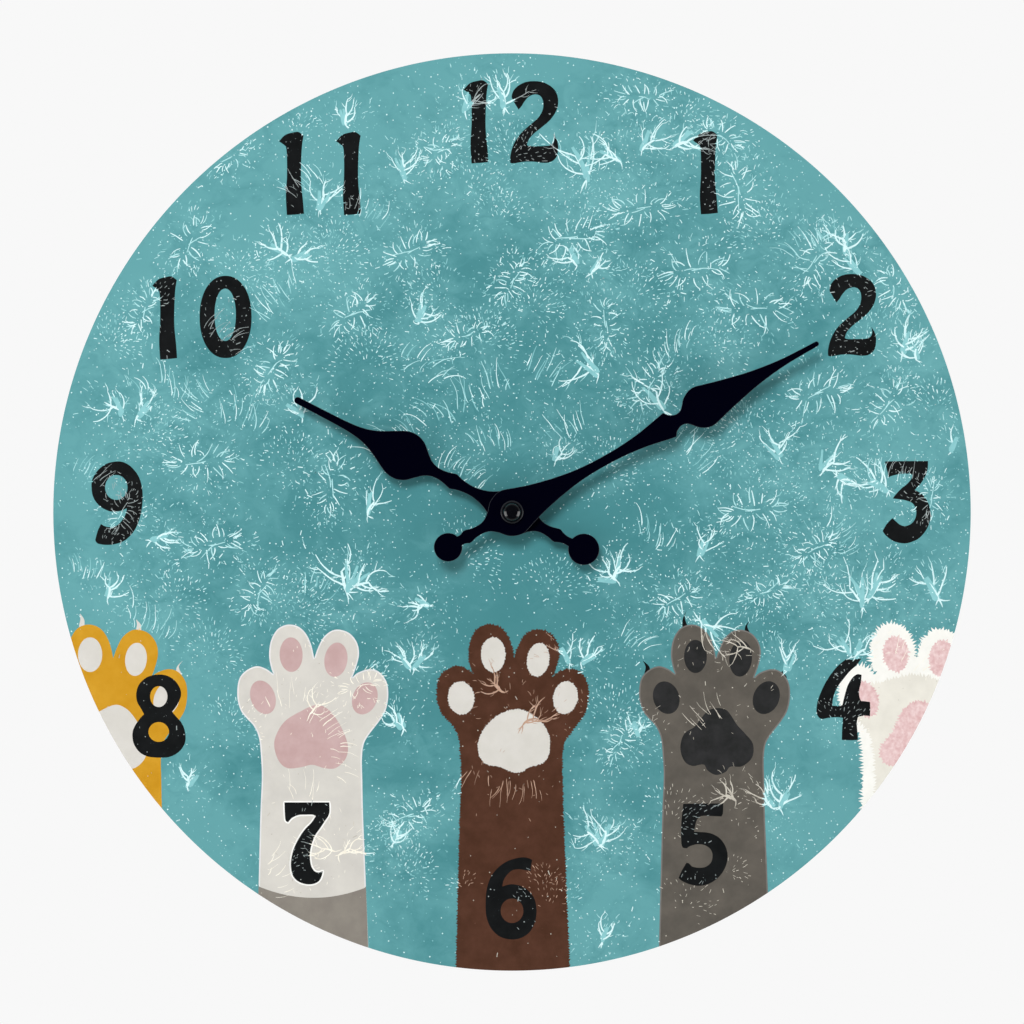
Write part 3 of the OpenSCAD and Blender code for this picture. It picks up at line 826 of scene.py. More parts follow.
class Glyphs:
    """The dial's own numerals: bold, a little flared, 23 mm high, drawn as runs of points."""

    ONE: tuple[Run, ...] = (
        ((0, 20.4), (1.7, 22.2), (4, 22.9), (5.4, 23)),
        ((6.8, 22), (6.35, 19), (6.1, 13.5), (6.15, 8.9), (6.6, 4.3)),
        ((6.9, 0.4), (4.6, 0.15)),
        ((2.2, 0), (1.9, 5.3), (2.2, 11), (2.15, 17)),
        ((1.9, 19), (0.9, 19.8)),
    )
    TWO: tuple[Run, ...] = (
        ((2.2, 15.1), (0.9, 17.3), (0.3, 18.8), (1.2, 20.9), (3.5, 22.5), (6.3, 23), (9.5, 22.5),
         (12.2, 20.6), (13.2, 17.7), (12.7, 14.9), (11.1, 12.4), (9, 10.5), (6.5, 8.5), (5.1, 6.9)),
        ((4.55, 5.4), (5.2, 5), (8.1, 5), (11.1, 5.25), (12.1, 6.6)),
        ((11.9, 8.3), (12.9, 6.6), (13.2, 4.3), (12.7, 2), (11.3, 0.7), (9.3, 0.35), (6.2, 0.7),
         (3.5, 0.65), (0.8, 0.2)),
        ((-0.1, 0.4), (-0.1, 2), (0.4, 4.3), (1.45, 6.6), (3, 8.7), (5.3, 10.8), (7.6, 12.8),
         (8.9, 15.1), (9, 17.4), (8.2, 18.9), (6.7, 19.3), (5.1, 18.7), (3.9, 17.4), (3, 16)),
    )
    THREE: tuple[Run, ...] = (
        ((0.65, 22.9), (6.6, 23)),
        ((12.6, 23), (12.5, 21), (11.9, 19), (10.5, 16.7)),
        ((8.9, 15), (10.7, 14), (12.3, 12.1), (13.1, 9.8), (13.2, 7.1), (12.3, 4.3), (10.3, 1.8),
         (8, 0.6), (5.7, 0.2), (2.9, 0.9), (0.9, 2.4)),
        ((0, 3.6), (1.1, 5.5)),
        ((2.7, 7.2), (3.6, 6.4), (4.8, 5.4), (6.2, 5), (8, 5.7), (9.1, 7.3), (9.3, 9.4),
         (8.4, 11.2), (6.8, 12), (4.8, 12.4)),
        ((2.9, 12.6), (3.4, 13.5), (5.2, 15.4), (6.6, 16.5), (7.9, 18)),
        ((8.3, 19.2), (7.3, 19.5), (4.8, 19.4), (2.6, 18.9)),
        ((1.7, 18.5), (1.3, 20.2)),
    )
    FOUR: tuple[Run, ...] = (
        ((7.7, 22.4), (8.4, 22.8), (9.7, 22.6), (11, 22.8)),
        ((12.4, 22.9), (11.1, 21.1), (9.3, 19.5), (7.4, 17.2), (5.6, 14.7), (4.6, 11.9)),
        ((4.4, 9.9), (6.4, 9.8)),
        ((7.2, 10.1), (7.9, 13.1), (8.8, 15.8), (10.2, 17.9), (11.4, 18.6)),
        ((12.5, 18.4), (12.3, 16.3), (11.8, 14), (11.9, 12.4)),
        ((12.3, 11.2), (13.4, 11.1)),
        ((14.8, 10.9), (14.9, 8.9)),
        ((14.8, 7), (13.2, 7.1)),
        ((11.5, 6.8), (11.2, 5.3), (11.3, 3)),
        ((11.5, 0.4), (9.8, 0.3)),
        ((7, 0.4), (7.1, 3.4)),
        ((7.3, 6.5), (5.6, 6.7), (3.3, 6.5), (1.5, 6.2), (0.5, 6.8), (0, 8), (0.1, 9.9),
         (0.5, 11.7), (1.7, 14.7), (3.3, 17.6), (5.6, 20.6)),
    )
    FIVE: tuple[Run, ...] = (
        ((1.3, 22.9), (6.9, 23)),
        ((12.4, 23), (12.3, 20.4)),
        ((11.9, 19.4), (9.6, 19.5), (6.9, 19.6), (5.7, 19.2), (5, 18.2), (4.6, 16.7)),
        ((4.3, 15.2), (6, 15.1), (8.7, 14.8), (11, 13.7), (12.6, 11.9), (13.5, 9.6), (13.5, 7.1),
         (12.6, 4.6), (11, 2.5), (8.7, 0.9), (6, 0.2), (3.2, 0.6), (0.9, 1.6)),
        ((0, 2.4), (0.9, 4.4)),
        ((2.2, 6.6), (2.9, 6.4), (3.9, 5.5), (6, 5.2), (7.8, 5.6), (9.1, 6.9), (9.4, 8.9),
         (8.7, 10.5), (7.1, 11.5), (5.1, 11.7), (3.2, 11.2)),
        ((2.3, 10.6), (1.2, 10.8)),
        ((0.8, 11.8), (0.7, 14.4), (0.8, 18.1), (1.1, 20.9)),
    )
    SIX: tuple[Run, ...] = (
        ((13.2, 22.2), (12.9, 20.6)),
        ((12.8, 19.1), (11.4, 19.3), (9.6, 19.6), (7.7, 19.3), (6.3, 18.1), (5.3, 16.6)),
        ((4.9, 14.8), (6.5, 15.3), (8.2, 15.4), (10.5, 14.8), (12.4, 13.4), (13.9, 11.2),
         (14.4, 8), (13.9, 4.8), (12.3, 2), (9.6, 0.4), (6.8, 0.2), (4, 1.1), (1.7, 3.4),
         (0.5, 6.6), (0.3, 10.3), (0.6, 14), (1.7, 17.4), (3.6, 19.9), (5.9, 21.6), (8.2, 22.5),
         (10.5, 22.9), (12, 22.7)),
    )
    SEVEN: tuple[Run, ...] = (
        ((0, 23.1), (6.2, 23.1)),
        ((12.4, 23.1), (12.5, 20.9), (12.2, 19.5), (11.3, 18.1), (9.9, 16), (8.5, 14), (7.6, 11.7),
         (7.1, 9.4), (7.1, 7.1), (7.5, 5.3), (8.3, 4.1), (9.4, 3.7)),
        ((10.6, 4.1), (10.3, 2.7), (9.5, 1.3), (7.9, 0.5), (5.8, 0.5), (3.7, 1.3), (2.3, 2.9),
         (1.8, 5.3), (2, 8), (2.8, 10.8), (4.2, 13.5), (5.8, 15.8), (7.4, 17.4)),
        ((8.7, 19.3), (7.8, 19.7), (5.9, 19.7), (3.9, 19.6), (2.1, 18.8)),
        ((1, 17.6), (0.3, 18.2), (0.1, 20.4)),
    )
    EIGHT: tuple[Run, ...] = (
        ((3.2, 12.1), (2, 10.8), (0.6, 8.7), (0, 6.6), (0.4, 3.9), (2, 1.6), (4.3, 0.4),
         (7.3, 0.1), (10.3, 0.3), (13, 1.8), (14.6, 4.3), (14.6, 7.1), (13.7, 9.6), (11.9, 11.7)),
        ((11, 12.8), (12.4, 14.7), (13.4, 17), (13.3, 19), (11.9, 21.3), (9.8, 22.7), (7.3, 23.1),
         (4.3, 22.5), (2, 20.6), (1.1, 18.1), (1.3, 15.6), (2.6, 13.3)),
    )
    NINE: tuple[Run, ...] = (
        ((9.7, 10.1), (9.6, 9), (8.8, 7.3), (7.2, 5.5), (5.4, 4.9), (3.6, 5.2)),
        ((2.6, 5.8), (1.7, 3.9)),
        ((1, 1.3), (1.7, 0.4), (3.8, 0), (6.5, 0.2), (9.3, 1.3), (11.6, 3.6), (13.2, 6.9),
         (14, 10.8), (14.1, 14.9), (13.2, 18.6), (11.3, 21.3), (9.3, 22.7), (7.2, 23.1),
         (4.2, 22.5), (1.7, 20.6), (0.2, 18.1), (0, 15.8), (0.5, 13.1), (2.2, 10.8), (4.7, 9.4),
         (7.2, 9.2)),
    )

    @classmethod
    def of(cls, digit: int) -> tuple[list[Point], list[list[Point]]]:
        """Draws a digit with its lower left corner at (0, 0).

        Args:
            digit: The digit.

        Returns:
            Its outline, and the outlines of its open middles.
        """
        if digit == 0:
            middle = oval(7.1, 12.3, 2.95, 7.25, 0, 2.1, 48)
            return oval(7.2, 11.7, 7.2, 11.4, 0, 2.15, 64), [middle]
        runs = (cls.ONE, cls.TWO, cls.THREE, cls.FOUR, cls.FIVE, cls.SIX, cls.SEVEN, cls.EIGHT,
                cls.NINE)[digit - 1]
        middles = {
            6: [oval(7.6, 8.1, 3.15, 3.4)],
            8: [oval(7.3, 17, 2.4, 2.9), oval(7.3, 7.2, 2.85, 2.75)],
            9: [oval(6.85, 15.9, 3.1, 3.45)],
        }
        return outline(runs, 5), middles.get(digit, [])


# Each printed digit and the dial place of its lower left corner, in millimetres.
DIGITS: tuple[tuple[int, float, float], ...] = (
    (1, -13.4, 96.5), (2, -0.4, 96.3), (1, 50.1, 82.4), (2, 87.6, 42.9), (3, 102.6, -8.9),
    (4, 84.3, -63.5), (5, 46.1, -103.7), (6, -7.6, -118.5), (7, -63.0, -103.5),
    (8, -105.1, -68.1), (9, -116.4, -9.1), (1, -99.6, 42.2), (0, -86.5, 42.3),
    (1, -64.5, 82.2), (1, -48.7, 82.2),
)


# ---------------------------------------------------------------- printed paws


class Coat(Enum):
    """How a printed paw's edge is drawn."""

    SLEEK = "smooth, with a fine line of another tone inside the edge"
    FELTED = "short dense tufts"
    FLUFFY = "long loose tufts"


@dataclass(frozen=True)
class InkShape:
    """One closed area of ink, with the areas that stay open in it."""

    outline: list[Point]
    ink: Finish
    middles: list[list[Point]] = field(default_factory=list)


@dataclass(frozen=True)
class Paw:
    """A raised cat's paw and its foreleg, seen from below, drawn about its middle line."""

    x: float
    coat: Coat
    fur: Finish
    pads: Finish
    # The finish of frost strokes that cross it.
    strokes: Finish
    # The main pad's outline, then middle x and z, half width, half height and tilt of each toe.
    pad: tuple[Point, ...]
    toes: tuple[tuple[float, float, float, float, float], ...]
    edge: Finish | None = None
    claws: Finish | None = None
    # Tip and root of each claw.
    claw_lines: tuple[tuple[Point, Point], ...] = ()
    sock: Finish | None = None
    # The darker middle of a coat with pale tips.
    palm: Run = ()
    seed: int = 1
    base: float = -103.4

    LEG: ClassVar[tuple[Run, ...]] = (
        ((-15.9, -28), (-15.2, 0), (-14.7, 20), (-14.3, 30), (-14.6, 36.5), (-15.1, 40.9),
         (-16.5, 44.1), (-18.6, 46.4), (-20.2, 48.6), (-21.1, 52.3), (-20.7, 56.8), (-18.9, 59.3),
         (-15.9, 60.7), (-13.2, 60)),
        ((-11.1, 58.5), (-11.7, 60.2), (-12.3, 63.6), (-11.8, 67.7), (-10, 70.9), (-7.3, 72.2),
         (-4.5, 71.8), (-2.3, 70), (-0.7, 66.8)),
        ((0.2, 62.9), (1.1, 65.5), (2.7, 68.6), (5, 70.5), (7.3, 70.8), (10, 69.8), (12, 67.3),
         (12.6, 64.1), (11.8, 60.5)),
        ((10.7, 57.5), (12.3, 58.9), (15.5, 59.9), (18.2, 59.1), (20.2, 56.4), (20.7, 52.7),
         (20, 48.6), (18.2, 45.5), (15.5, 42), (13.9, 39.1), (13.4, 35), (13.5, 29.5), (13.7, 20),
         (14.3, 5)),
        ((15.6, -28), (0, -28)),
    )

    def place(self, points: Iterable[Point]) -> list[Point]:
        """An outline of the paw, put on the dial and run anticlockwise."""
        return anticlockwise(moved(points, self.x, self.base))

    def body(self) -> list[Point]:
        """The paw's outline on the dial, before any tufts."""
        return self.place(outline(self.LEG, 6))

    def furry(self, points: list[Point], scale: float, salt: int) -> list[Point]:
        """Gives an outline this coat's edge.

        Args:
            points: The anticlockwise outline.
            scale: How long its tufts are, as a share of the leg's own.
            salt: Makes these tufts differ from the paw's others.

        Returns:
            The outline, tufted unless the coat is sleek.
        """
        if self.coat is Coat.FELTED:
            return tufted(points, 0.75, 0.6 * scale, self.seed + salt)
        if self.coat is Coat.FLUFFY:
            return tufted(points, 0.85, 1.5 * scale, self.seed + salt)
        return points

    def claw(self, tip: Point, root: Point) -> list[Point]:
        """A slim curved claw, 1.5 mm wide at its root, which the toe covers.

        Args:
            tip: Its point.
            root: The middle of its root.

        Returns:
            Its outline.
        """
        lean = 0.35 if tip[0] < root[0] else -0.35
        (tx, tz), (rx, rz) = tip, root
        return outline((
            ((rx - 0.75, rz), (rx - 0.5 + 0.2 * lean, (rz + tz) / 2)),
            (tip, (rx + 0.3 + lean, (rz + tz) / 2)),
            ((rx + 0.75, rz - 0.2), (rx + 0.5, rz - 1.6)),
            ((rx - 0.5, rz - 1.6),),
        ), 4)

    def cuff(self, body: list[Point]) -> list[Point]:
        """The sock's outline, drawn in to the leg's own sides under a sagging hem.

        Args:
            body: The paw's outline on the dial.

        Returns:
            The sock's outline on the dial.
        """
        hem = [(-16.5 + i * 3.3, -3.4 + 3.7 * ((i - 5) / 5) ** 2) for i in range(11)]
        out = []
        for x, z in moved([*smooth(hem, 4), (16.5, -30), (-16.5, -30)], self.x, self.base):
            span = [bx for bx, bz in body if abs(bz - z) < 3.0] or [x]
            out.append((min(max(x, min(span)), max(span)), z))
        return anticlockwise(out)

    def shapes(self) -> list[InkShape]:
        """The paw's areas of ink.

        Returns:
            The areas, from the lowest to the highest.
        """
        body = self.body()
        shapes = [InkShape(self.place(self.claw(*line)), self.claws) for line in self.claw_lines]
        shapes.append(InkShape(self.furry(body, 1.0, 0), self.edge or self.fur))
        if self.edge:
            inner = grown(body, -0.38)
            if self.palm:
                inner = self.furry(self.place(smooth(self.palm, 6, True)), 0.9, 9)
            shapes.append(InkShape(inner, self.fur))
        if self.sock:
            shapes.append(InkShape(self.cuff(body), self.sock))
        for i, points in enumerate([smooth(self.pad, 6, True), *(oval(*toe) for toe in self.toes)]):
            shapes.append(InkShape(self.furry(self.place(points), 0.62, i), self.pads))
        return shapes


BROAD_PAD = (
    (-10.9, 38.6), (-10.2, 42), (-7.8, 45.6), (-3.6, 48.2), (0.6, 50), (3.4, 49.2), (5.6, 47.1),
    (7.9, 43.4), (9.5, 38.8), (8.9, 35.1), (6.1, 32.5), (2.9, 32.5), (-0.4, 33.4), (-3.6, 32.7),
    (-7.3, 32.5), (-9.7, 34.6),
)
DOMED_PAD = (
    (-9.8, 38.3), (-9.2, 41.2), (-7.3, 44.3), (-3.8, 47.3), (1, 48.7), (5.2, 47.2), (8.4, 44.3),
    (9.9, 41), (10, 38.3), (9.6, 35.8), (8, 34), (4.3, 32.8), (2.6, 31.7), (0.6, 31.3),
    (-1.4, 31.9), (-3.6, 32.9), (-7.3, 33.6), (-9.2, 35.6),
)
PEAKED_PAD = (
    (-9.7, 38.3), (-8.6, 42), (-5.8, 43.9), (-4.1, 46.1), (-2, 48.4), (0.5, 49.1), (2.8, 48.7),
    (4.2, 47.3), (6, 44.5), (8.3, 42), (10.4, 39.2), (10.2, 35.5), (7.4, 33), (4.2, 32.9),
    (2.8, 31.4), (0.2, 30.6), (-2.1, 31.8), (-3.3, 33.5), (-6.4, 33.1), (-8.7, 34.6),
)
SLANTED_PAD = (
    (-9.7, 36.6), (-8.9, 39.2), (-6.5, 41.9), (-4.9, 45), (-3.6, 48), (-0.1, 50.8), (4, 50),
    (7, 46), (8.6, 42), (9, 38), (8, 35), (5, 33.4), (0, 33.5), (-3, 34.2), (-6.2, 33.3),
    (-8.6, 34.2),
)
PAWS: tuple[Paw, ...] = (
    Paw(-110.6, Coat.SLEEK, FUR_ORANGE, PAD_WHITE, STRAW, BROAD_PAD,
        ((-14.2, 52.2, 3.4, 4.9, 20), (-6.2, 63.9, 3.35, 4.8, 0), (6.5, 62.6, 3.0, 4.6, -6),
         (15.0, 51.7, 3.5, 4.9, -20)),
        claws=PAD_WHITE,
        claw_lines=(((-9.0, 75.3), (-8.5, 72)), ((6.5, 73.7), (7.2, 70.7)),
                    ((19.5, 62.3), (18.4, 58.8))), seed=2),
    Paw(-54.95, Coat.SLEEK, FUR_WHITE, PAD_PINK, CREAM, BROAD_PAD,
        ((-14.0, 52.1, 3.4, 4.8, 20), (-6.2, 63.9, 3.2, 4.8, 2), (6.2, 62.5, 3.2, 4.8, -8),
         (14.2, 51.8, 3.4, 4.6, -22)),
        edge=FUR_WHITE_EDGE, sock=SOCK, seed=3),
    Paw(0.4, Coat.FELTED, FUR_BROWN, PAD_WHITE, TAN, DOMED_PAD,
        ((-14.5, 51.9, 3.55, 4.5, 6), (-5.6, 63.9, 3.3, 4.75, 0), (6.85, 62.5, 3.0, 4.6, -8),
         (14.4, 52, 3.3, 4.5, -10)), seed=4),
    Paw(56.3, Coat.SLEEK, FUR_GREY, PAD_DARK, STONE, PEAKED_PAD,
        ((-13.6, 52, 3.6, 4.6, 18), (-5.5, 63.4, 3.15, 4.6, 0), (7, 62.8, 3.15, 5, -5),
         (14.1, 52, 3.6, 4.7, -22)),
        edge=FUR_GREY_EDGE, claws=CLAW_BLACK,
        claw_lines=(((-8.0, 76.1), (-8.4, 72)), ((9.8, 73.7), (8.9, 70)),
                    ((-20.1, 62.3), (-18.9, 58.8)), ((20.8, 60.6), (19.0, 58))), seed=5),
    Paw(111.7, Coat.FLUFFY, FUR_FLUFF, PAD_ROSE, CREAM, SLANTED_PAD,
        ((-14.0, 51.6, 3.5, 4.9, 20), (-5.4, 64.1, 3.35, 4.8, 4), (7.2, 62.9, 3.3, 4.9, -6),
         (14.2, 51.8, 3.4, 4.8, -20)), edge=FUR_FLUFF_EDGE,
        palm=((-11.5, -30), (-11, 0), (-10.8, 30), (-12.5, 42), (-17.5, 48), (-16, 54.5),
              (-9.5, 56), (-1, 58), (8, 56.5), (14.5, 55), (17, 49), (11.5, 41), (9.8, 30),
              (10.4, 0), (11.5, -30)), seed=6),
)


# ---------------------------------------------------------------- the printed face


@dataclass
class PrintedFace:
    """The printed film: one flat mesh cut along every edge of ink, so each edge stays crisp."""

    radius_mm: float = DIAL_RADIUS_MM
    hole_mm: float = STEM_HOLE_MM
    film_mm: float = 0.25
    rim_points: int = 720
    # Distance between the mesh points that carry the mist of the frost figures.
    grid_mm: float = 2.6
    # How far the 7's white edge shows round it.
    halo_mm: float = 0.42

    def shapes(self) -> list[InkShape]:
        """Every area of ink.

        Returns:
            The areas, from the lowest to the highest.
        """
        shapes = [InkShape(oval(0, 0, self.radius_mm, self.radius_mm, count=self.rim_points), TEAL)]
        for paw in PAWS:
            shapes += paw.shapes()
        for digit, x, z in DIGITS:
            line, middles = Glyphs.of(digit)
            line = anticlockwise(moved(line, x, z))
            holes = [anticlockwise(moved(m, x, z)) for m in middles]
            if digit == 7:
                shapes.append(InkShape(grown(line, self.halo_mm), NUMERAL_EDGE))
            shapes.append(InkShape(line, NUMERAL, holes))
        return shapes

    def build(self) -> tuple[bpy.types.Object, dict[str, list[Tile]]]:
        """Makes the film.

        Returns:
            The piece, and the triangles of each ink by the ink's name, in millimetres.
        """
        shapes = self.shapes()
        verts: list[Vector] = []
        faces: list[list[int]] = []

        def take(points: Sequence[Point]) -> int:
            """Adds a closed line to the plan and returns its number."""
            faces.append(list(range(len(verts), len(verts) + len(points))))
            verts.extend(Vector(p) for p in points)
            return len(faces) - 1

        plan = [(take(s.outline), [take(m) for m in s.middles], s.ink) for s in shapes]
        hole = take(oval(0, 0, self.hole_mm, self.hole_mm, count=96))
        span = int(self.radius_mm / self.grid_mm) + 1
        verts += [
            Vector((x, z))
            for i in range(-span, span + 1) for j in range(-span, span + 1)
            if math.hypot(x := (i + 0.5 * (j % 2)) * self.grid_mm, z := j * self.grid_mm)
            < self.radius_mm - 1
        ]
        spots, _, tiles, _, _, owners = delaunay_2d_cdt(verts, [], faces, 1, 1e-5)
        inks = list(dict.fromkeys(ink for _, _, ink in plan))
        slots = {ink.name: i for i, ink in enumerate(inks)}
        work = bmesh.new()
        placed = [work.verts.new(in_row(p.x, p.y, PRINT_MM)) for p in spots]
        by_ink: dict[str, list[Tile]] = {ink.name: [] for ink in inks}
        for tile, owner in zip(tiles, owners, strict=True):
            own = set(owner)
            if plan[0][0] not in own or hole in own:
                continue
            ink = next(i for o, m, i in reversed(plan) if o in own and not own.intersection(m))
            face = work.faces.new([placed[k] for k in tile])
            face.material_index = slots[ink.name]
            by_ink[ink.name].append(tuple((spots[k].x, spots[k].y) for k in tile))
        bmesh.ops.delete(work, geom=[v for v in work.verts if not v.link_faces], context="VERTS")
        rim = [e for e in work.edges if e.is_boundary]
        skirt = bmesh.ops.extrude_edge_only(work, edges=rim)["geom"]
        lower = [g for g in skirt if isinstance(g, bmesh.types.BMVert)]
        bmesh.ops.translate(work, verts=lower, vec=(0, self.film_mm * MM, 0))
        for face in (g for g in skirt if isinstance(g, bmesh.types.BMFace)):
            face.material_index = len(inks)
        open_edges = [e for e in work.edges if e.is_boundary]
        for face in bmesh.ops.bridge_loops(work, edges=open_edges)["faces"]:
            face.material_index = len(inks)
        mesh = meshed(work, "printed_face")
        misted(mesh)
        piece = new_piece("printed_face", mesh, [*inks, FILM])
        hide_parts("dial_print")
        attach(piece, "clock_body")
        return piece, by_ink


# ---------------------------------------------------------------- frost strokes


class Motif(Enum):
    """The kinds of white figure printed over the dial."""

    ANTLER = "a stout stem that forks into curved branches"
    LICHEN = "short hairs that stand out all round a short spine, in an oval"
    COMB = "thin curved hairs side by side"
    SPRAY = "arcs of dots and dashes"


@dataclass(frozen=True)
class Figure:
    """One printed figure: its kind, place, reach in millimetres and heading in degrees."""

    kind: Motif
    x: float
    z: float
    reach: float
    heading: float

    def at(self, along: float, across: float) -> Point:
        """The dial place of a point along and across the figure's heading."""
        turn = math.radians(self.heading)
        c, s = math.cos(turn), math.sin(turn)
        return self.x + along * c - across * s, self.z + along * s + across * c

    def mist(self, x: float, z: float) -> float:
        """How much the wash is misted at a place by this figure, from 0 to 1."""
        stout = 1.0 if self.kind is Motif.LICHEN else 0.7
        share = math.hypot(x - self.x, z - self.z) / (1.15 * self.reach)
        return stout * math.exp(-2.2 * share * share) if share < 1.6 else 0.0


def figures(kind: Motif, *rows: tuple[float, float, float, float]) -> tuple[Figure, ...]:
    """Figures of one kind from rows of place, reach and heading."""
    return tuple(Figure(kind, *row) for row in rows)


FIGURES: tuple[Figure, ...] = (
    *figures(
        Motif.ANTLER,
        (24, 38, 15, 135), (42, 28, 16, 118), (20.6, 92, 20, 98), (30, 97, 13, 150),
        (36, 100, 12, 65), (45, 101, 12, 50), (-13, 111, 12, 60), (-2, 112, 12, 95),
        (-46, 107, 9, 95), (-30, 92, 12, 105), (-53, 84, 11, 75), (-62, 71, 11, 150),
        (-61, 70, 10, 40), (18, 68, 10, 105), (22, 66, 9, 60), (96, 66, 12, 125), (92, 72, 10, 70),
        (108, 44, 12, 75), (112, 42, 9, 115), (74, 15, 12, 115), (86, 11, 12, 70),
        (90, 10, 9, 320), (104, 6, 12, 140), (122, 17, 9, 80), (97, -26, 17, 112),
        (99, -24, 15, 60), (118, -24, 14, 118), (28, -18, 10, 60), (29, -19, 10, 160),
        (52, -12, 10, 75), (-108, 27, 11, 105), (-104, 26, 10, 55), (-40, -1, 12, 85),
        (-46, -22, 16, 100), (-44, -21, 13, 45), (-23, -26, 9, 150), (-90, -76, 8, 60),
        (-27, -43, 9, 60), (-28, -43, 9, 120), (16, -42, 10, 115), (19, -42, 9, 50),
        (24, -92, 13, 118), (25, -92, 11, 60), (76, -44, 10, 95), (94, -40, 12, 105),
        (95, -40, 10, 60), (74, -82, 11, 75), (72, -82, 9, 130), (25, -119, 8, 70),
        (-49, -94, 10, 150), (-48, -95, 10, 40), (-33, -92, 8, 70), (3, -59, 12, 60),
        (-2, -50, 10, 178), (52, -30, 13, 300), (62, -80, 9, 130), (-56, -56, 9, 40),
        (66, -38, 10, 150), (-26, 52, 10, 60), (-58, 26, 11, 130), (-100, -8, 10, 30),
        (12, 14, 8, 60), (-30, -60, 9, 120), (35, -62, 8, 100), (-112, -24, 9, 60),
    ),
    *figures(
        Motif.LICHEN,
        (35.6, 84, 12, 5), (51, 67, 13, 8), (67.4, 56.3, 13, 5), (63, 89, 12, 100),
        (17, 76, 12, 15), (85, 33, 12, 10), (66, 0.5, 13, 10), (84, 70, 11, 70),
        (-89, 75, 11, 60), (-86, 14, 13, 5), (-50, 8, 12, 80), (-83, -9, 11, 15),
        (38, 35, 10, 60), (26, 52, 10, 90), (36, 115, 9, 0), (58, 104, 9, 150),
        (-44, 55, 10, 40), (71, -22, 9, 20), (104, 30, 10, 60), (-28, 72, 10, 30),
        (-66, 40, 10, 60), (106, 62, 9, 120), (46, -24, 9, 30), (-70, -22, 9, 60),
        (-12, 49, 9, 20), (-102, 56, 9, 60), (-28, -84, 9, 30),
        (-42, -48, 8, 20), (84, -10, 9, 30), (116, 4, 8, 80), (-20, 100, 8, 40),
        (-78, 98, 7, 40), (0, 64, 9, 60), (-108, 0, 8, 70), (30, -64, 8, 60),
    ),
    *figures(
        Motif.COMB,
        (-20, 30, 14, 108), (-8, 34, 12, 118), (-24, 42, 12, 60), (8, 40, 11, 70),
        (-34, 20, 11, 120), (-62, -50, 10, 95), (-51, -58, 10, 48), (-58, -76, 11, 80),
        (-47, -67, 8, 10), (-8, -76, 10, 250), (2, -78, 9, 275), (52, 18, 11, 35),
        (-74, 28, 12, 70),
        (-96, 36, 10, 80), (-80, 50, 10, 60), (-58, 92, 9, 120), (82, 76, 10, 110),
        (-116, 12, 8, 60), (104, 12, 9, 100), (60, 30, 10, 140), (-14, 12, 10, 70),
        (14, 24, 10, 120), (-100, -30, 10, 55), (34, -34, 9, 60),
        (-66, 60, 10, 130), (-40, 84, 8, 60), (54, -56, 9, 130), (112, -40, 9, 60),
        (44, 46, 9, 120), (-6, 20, 9, 100), (-54, -20, 9, 70), (-88, 30, 9, 150),
        (92, -6, 9, 30), (-64, -100, 9, 20), (40, -6, 9, 60), (-118, -16, 7, 80),
    ),
    *figures(
        Motif.SPRAY,
        (-11, 88, 9, 60), (-4, 80, 9, 100), (47, 108, 9, 40), (70, 76, 9, 120), (33, 60, 9, 60),
        (-60, 104, 7, 60), (-76, 66, 9, 30), (-8, 46, 9, 60), (-40, 40, 10, 100), (56, 46, 9, 20),
        (-94, -26, 9, 60), (-60, -28, 9, 20), (10, -22, 9, 70), (-14, -14, 10, 60),
        (28, -58, 9, 60), (44, -86, 9, 60), (48, -110, 8, 60), (90, -60, 8, 60), (84, -24, 9, 60),
        (10, -110, 9, 80), (-30, -100, 8, 60), (9, -103, 5, 60), (-13, -104, 4, 100),
        (60, -100, 5, 40), (-84, -40, 9, 60), (118, 28, 8, 60), (98, 46, 8, 100),
        (-112, 46, 8, 60), (-20, 60, 9, 150), (6, 56, 8, 60), (64, 20, 9, 150), (-60, 12, 9, 60),
        (-100, 20, 9, 60), (-78, -60, 8, 60), (-50, 70, 9, 60), (0, 98, 8, 100), (26, 10, 9, 60),
    ),
)


def mist(x: float, z: float) -> float:
    """How much the wash is misted at a place on the dial, from 0 to 1."""
    return min(1.0, sum(figure.mist(x, z) for figure in FIGURES))


def misted(mesh: bpy.types.Mesh) -> None:
    """Gives a mesh on the dial its frost attribute, which the wash and the specks read."""
    haze = mesh.attributes.new("frost", "FLOAT", "POINT")
    haze.data.foreach_set("value", [mist(v.co.x / MM, v.co.z / MM) for v in mesh.vertices])


class Tone(Enum):
    """How strongly a stroke is printed."""

    STRONG = 0
    MIDDLE = 1
    FAINT = 2


